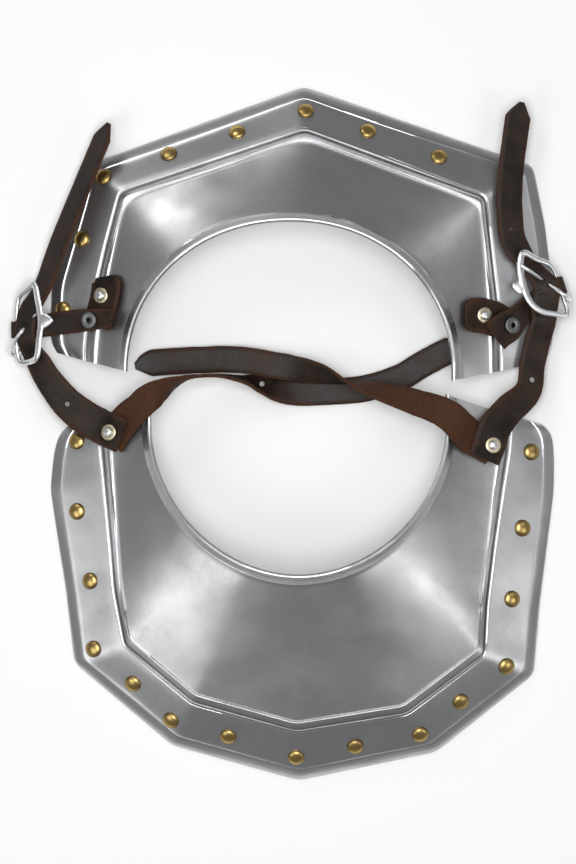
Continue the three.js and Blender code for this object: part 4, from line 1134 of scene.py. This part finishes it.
@dataclass
class Leather:
    """A flat strip of leather carried along its stations.

    Attributes:
        node: the CAD node that it stands for.
        stations: its stations in space.
        thick: its thickness in millimetres.
        flesh_up: whether the rough flesh side is the side that the stations call the upper one.
        cuts: how many steps lie between two stations.
    """

    node: str
    stations: list[Station]
    thick: float
    flesh_up: bool = False
    cuts: int = 7
    obj: bpy.types.Object | None = field(default=None, repr=False)

    def build(self) -> None:
        """Builds the strip, with slightly uneven edges."""
        last = len(self.stations) - 1
        steps = np.arange(last * self.cuts + 1) / self.cuts
        centre, tangent = spline(np.array([s.point for s in self.stations]), steps)
        side, _ = spline(np.array([s.side for s in self.stations]), steps)
        tangent = unit(tangent)
        side = unit(side - tangent * np.sum(side * tangent, axis=1, keepdims=True))
        rise = np.cross(tangent, side)
        widths = np.interp(steps, range(last + 1), [s.width for s in self.stations])
        verts, flesh, edge = [], [], []
        for here, along, up, width in zip(centre, side, rise, widths):
            for u, v in self.section(width, here):
                verts.append(here + along * u + up * v)
                flesh.append(float((v > 0) == self.flesh_up) if abs(v) > 0.3 * self.thick else 0.75)
                edge.append(float(abs(u) > width / 2 - 0.7))
        faces = ring_faces(len(steps), len(verts) // len(steps))
        self.obj = mesh_object(self.node + "_shape", verts, faces, 60.0)
        paint(self.obj, "flesh", flesh)
        paint(self.obj, "edge", edge)
        dress(self.obj, self.node, LEATHER)

    def section(self, width: float, here: np.ndarray) -> list[tuple[float, float]]:
        """The strip's section at one step: places across it and square to it.

        Args:
            width: the strip's width there.
            here: the middle of the strip there, which the unevenness follows.

        Returns:
            The section's points, in turn.
        """
        half, rise, soft = width / 2, self.thick / 2, min(0.5, width / 6)
        wave = 0.22 * noise.noise(Vector(here) * 0.23)
        flat = np.linspace(-(half - soft), half - soft, 7)
        x, y, z = here * 0.2
        wavy = [0.10 * noise.noise(Vector((x + u * 0.35, y, z))) for u in flat]
        lower = [(u + wave, -rise + w) for u, w in zip(flat, wavy)]
        upper = [(u + wave, rise + w) for u, w in zip(flat, wavy)]
        return [*lower, (half + wave, -0.45 * rise), (half + wave, 0.45 * rise), *upper[::-1],
                (-half + wave, 0.45 * rise), (-half + wave, -0.45 * rise)]

    def cut(self, tool: bpy.types.Object) -> None:
        """Cuts a hole with a tool."""
        joined(self.obj, tool, "DIFFERENCE")


# Buckles


@dataclass
class Buckle:
    """A buckle: a closed frame with a nose, and the prong that loops round its heel bar.

    Attributes:
        hand: right or left.
        voxel: how finely frame and nose are fused, in millimetres.
        softening: how often the fused frame is smoothed.
    """

    hand: str
    frame_rows: Sequence[BarRow]
    nose_rows: Sequence[BarRow]
    prong_rows: Sequence[BarRow]
    voxel: float = 0.3
    softening: int = 3

    def plane(self) -> Vector:
        """The direction square to the frame's course, pointing up.

        Returns:
            Its unit vector.
        """
        third = len(self.frame_rows) // 3
        first, second, later = (Vector(self.frame_rows[k][:3]) for k in (0, third, 2 * third))
        normal = (second - first).cross(later - first).normalized()
        return -normal if normal.z < 0 else normal

    def course(self) -> Vector:
        """The direction square to the prong's course."""
        first, last = self.prong_rows[0], self.prong_rows[-1]
        return Vector((last.y - first.y, first.x - last.x, 0.0)).normalized()

    def build(self) -> None:
        """Builds the frame, fused with its nose, and the prong."""
        frame_node, prong_node = f"buckle_frame_{self.hand}", f"buckle_prong_{self.hand}"
        ring = sweep(frame_node + "_shape", self.frame_rows, self.plane(), True, sides=14)
        joined(ring, sweep("nose", self.nose_rows, self.plane(), sides=14), "UNION")
        fuse = ring.modifiers.new("fuse", "REMESH")
        fuse.mode, fuse.voxel_size, fuse.use_smooth_shade = "VOXEL", self.voxel * MM, True
        soften = ring.modifiers.new("soften", "SMOOTH")
        soften.factor, soften.iterations = 0.5, self.softening
        dress(baked(ring), frame_node, NICKEL)
        dress(sweep(prong_node + "_shape", self.prong_rows, self.course()), prong_node, NICKEL)

    def pierce(self, strips: Sequence[Leather]) -> None:
        """Opens the prong's way through the strips of leather that it passes."""
        for strip in strips:
            strip.cut(sweep("way", self.prong_rows, self.course(), more=SIZES.gap, cuts=3))


# The gorget and its stage


class StrapRivet(NamedTuple):
    """A rivet that holds leather to a plate: its place, and how thick the leather under it is stacked."""

    name: str
    x: float
    y: float
    plate: str
    stack: float


class Eyelet(NamedTuple):
    """An eyelet that closes a chape: its place and its axis."""

    hand: str
    x: float
    y: float
    z: float
    across: float
    lean: float
    dive: float


STRAP_RIVETS = table(
    StrapRivet,
    ("front_right", 118.8, -7.2, "front", 7.4),
    ("front_left", -104.6, 0.4, "front", 7.4),
    ("back_right", 114.0, 70.7, "back", 4.2),
    ("back_left", -110.8, 82.3, "back", 3.6),
)
EYELETS = table(
    Eyelet,
    ("right", 131.4, 64.8, 15.95, 134, 22, -22),
    ("left", -118.8, 68.1, 19.15, 263, -10, -25),
)
PUNCHED = (
    ("side_strap_right", 144.9, 32.1, 11.4), ("side_strap_right", 132.6, 122.1, 14.0),
    ("side_strap_left", -133.2, 17.7, 13.0), ("inner_strap_left", -16.8, 29.7, 8.6),
)


@dataclass
class Gorget:
    """The whole gorget: plates, rivets, leather and buckles, in millimetres.

    Attributes:
        washer_thick: thickness of the rings under the strap rivets.
        eyelet_bore: radius of the holes that the eyelets pass.
        punched_bore: radius of the spare holes.
    """

    washer_thick: float = 0.9
    eyelet_bore: float = 3.0
    punched_bore: float = 1.5

    def __post_init__(self) -> None:
        """Lays out the pieces; nothing is built yet."""
        self.plates = {
            "front": Plate("front_plate", FRONT_NECK, FRONT_ROWS, FRONT_RIVETS),
            "back": Plate("back_plate", BACK_NECK, BACK_ROWS, BACK_RIVETS),
        }
        strap, tab = SIZES.strap_thick, SIZES.tab_thick
        strips = [
            Leather("side_strap_right", stations_from(SIDE_RIGHT), strap),
            Leather("side_strap_left", stations_from(SIDE_LEFT), strap),
            Leather("inner_strap_right", stations_from(INNER_RIGHT), strap, True),
            Leather("inner_strap_left", stations_from(INNER_LEFT), strap, True),
            Leather("hanger_right", stations_from(HANGER_RIGHT), tab),
            Leather("hanger_left", stations_from(HANGER_LEFT), tab),
            Leather("chape_right", chape_stations(CHAPE_UPPER_RIGHT, HEEL_RIGHT, CHAPE_LOWER_RIGHT), tab),
            Leather("chape_left", chape_stations(CHAPE_UPPER_LEFT, HEEL_LEFT, CHAPE_LOWER_LEFT), tab),
        ]
        self.strips = {strip.node: strip for strip in strips}
        self.buckles = [
            Buckle("right", FRAME_RIGHT, NOSE_RIGHT, PRONG_RIGHT),
            Buckle("left", FRAME_LEFT, NOSE_LEFT, PRONG_LEFT),
        ]

    def build_plates(self) -> None:
        """Builds both plates and their brass rivets."""
        for side, plate in self.plates.items():
            plate.build()
            plate.rivet_row(f"{side}_rivet")

    def build_leather(self) -> None:
        """Builds all the leather strips."""
        for strip in self.strips.values():
            strip.build()

    def build_buckles(self) -> None:
        """Builds both buckles and opens the leather for their prongs."""
        for buckle in self.buckles:
            buckle.build()
            buckle.pierce([self.strips[f"side_strap_{buckle.hand}"], self.strips[f"chape_{buckle.hand}"]])

    def build_strap_rivets(self) -> None:
        """Builds the strap rivets and their washer rings."""
        for row in STRAP_RIVETS:
            seat = self.plates[row.plate].seat(row.x, row.y, SIZES.strap_seat)
            washer = Ring(PALE_BRASS, inner=1.7, outer=4.9, thick=self.washer_thick, base=row.stack)
            washer.build(f"rivet_washer_{row.name}", *seat)
            base = row.stack + self.washer_thick + SIZES.gap
            stud = Stud(NICKEL, head=2.8, crown=1.7, shank=1.3, tail=2.3, base=base, below=2.45)
            stud.build(f"strap_rivet_{row.name}", *seat)

    def build_eyelets(self) -> None:
        """Builds the eyelets of the chapes."""
        for row in EYELETS:
            side, point = heading(row.across, row.lean), Vector((row.x, row.y, row.z))
            along = Vector((side.y, -side.x, 0.0)).normalized()
            along.z = math.tan(math.radians(row.dive))
            normal = along.cross(side).normalized()
            eyelet = Ring(DULL_NICKEL, inner=1.7, outer=5.2, thick=0.9, base=3.5, barrel=2.2)
            eyelet.build(f"chape_eyelet_{row.hand}", point, normal)
            for node in (f"chape_{row.hand}", f"hanger_{row.hand}"):
                self.strips[node].cut(rod(point, normal, self.eyelet_bore, 4.0))

    def punch(self) -> None:
        """Punches the spare holes."""
        for node, x, y, z in PUNCHED:
            self.strips[node].cut(rod(Vector((x, y, z)), UP, self.punched_bore, 7.0))
        LOG.info("punched %d spare holes", len(PUNCHED))

    def build(self) -> None:
        """Builds everything in order."""
        self.build_plates()
        self.build_leather()
        self.build_buckles()
        self.build_strap_rivets()
        self.build_eyelets()
        self.punch()


class Softbox(NamedTuple):
    """A soft light round the gorget: where it stands, its size in metres and its power in watts."""

    name: str
    azimuth: float
    elevation: float
    distance: float
    width: float
    height: float
    power: float


SOFTBOXES = table(
    Softbox,
    ("key_above", 0, 90, 1.8, 1.1, 1.1, 23.0),
    ("soft_front_left", 210, 45, 1.5, 0.75, 0.6, 3.3),
    ("soft_front_right", 338, 40, 1.5, 0.45, 0.45, 2.0),
    ("soft_back_left", 124, 35, 1.5, 0.5, 0.45, 2.9),
    ("soft_back_right", 30, 42, 1.5, 0.4, 0.5, 0.8),
)


@dataclass(frozen=True)
class Stage:
    """Plain pale floor, soft lights, sky and camera.

    Attributes:
        middle: place under the camera, in metres.
        camera_height: height of the camera, in metres.
        view_width: width of floor that the picture shows, in metres.
        floor_reach: half the floor's width, in millimetres.
    """

    middle: tuple[float, float, float] = (-0.0012, 0.0009, 0.0)
    camera_height: float = 5.0
    view_width: float = 0.5184
    floor_reach: float = 3e3

    def floor(self) -> bpy.types.Object:
        """Lays the pale floor just under the gorget.

        Returns:
            The new object.
        """
        reach = self.floor_reach
        corners = [(x * reach, y * reach, -0.1) for x, y in ((-1, -1), (1, -1), (1, 1), (-1, 1))]
        obj = mesh_object("floor", corners, [(0, 1, 2, 3)])
        material, tree, surface = new_material("pale_floor")
        pale = (0.93, 0.93, 0.93, 1.0)
        tree.feed(surface, {"Base Color": pale, "Roughness": 0.9, "Specular IOR Level": 0.1})
        obj.data.materials.append(material)
        return obj

    def light(self, box: Softbox) -> bpy.types.Object:
        """Sets up a softbox, turned to the middle of the gorget.

        Args:
            box: its place, size and power.

        Returns:
            The new light.
        """
        light = bpy.data.lights.new(box.name, "AREA")
        light.shape = "RECTANGLE"
        light.size, light.size_y, light.energy = box.width, box.height, box.power
        obj = bpy.data.objects.new(box.name, light)
        way = heading(box.azimuth, box.elevation)
        obj.location = Vector(self.middle) + way * box.distance
        obj.rotation_euler = way.to_track_quat("Z", "Y").to_euler()
        obj.visible_camera = False
        bpy.context.scene.collection.objects.link(obj)
        return obj

    def sky(self) -> None:
        """A grey sky, darker overhead."""
        world = bpy.data.worlds.new("studio")
        bpy.context.scene.world = world
        world.use_nodes = True
        tree = Tree(world.node_tree)
        back = next(node for node in world.node_tree.nodes if node.type == "BACKGROUND")
        place = tree.add("ShaderNodeTexCoord").outputs["Generated"]
        height = tree.add("ShaderNodeSeparateXYZ", {0: place}).outputs["Z"]
        level = tree.span(height, 0.05, 0.85, 0.20, 0.15)
        grey = tree.add("ShaderNodeCombineColor", {0: level, 1: level, 2: level}).outputs[0]
        tree.feed(back, {"Color": grey, "Strength": 1.0})

    def camera(self) -> None:
        """Sets the long-lens camera straight above."""
        lens = bpy.data.cameras.new("camera")
        lens.sensor_width = 36.0
        lens.lens = 36.0 * self.camera_height / self.view_width
        lens.clip_end = 50.0
        obj = bpy.data.objects.new("camera", lens)
        obj.location = Vector(self.middle) + UP * self.camera_height
        bpy.context.scene.collection.objects.link(obj)
        bpy.context.scene.camera = obj

    def build(self) -> None:
        """Sets everything up round the gorget."""
        view = bpy.context.scene.view_settings
        view.view_transform, view.look = "Standard", "None"
        self.floor()
        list(map(self.light, SOFTBOXES))
        self.sky()
        self.camera()
        LOG.info("set up the stage")


def main() -> None:
    """Builds the gorget and its stage."""
    logging.basicConfig(level=logging.INFO, format="%(name)s: %(message)s")
    Gorget().build()
    Stage().build()


if __name__ == "__main__":
    main()
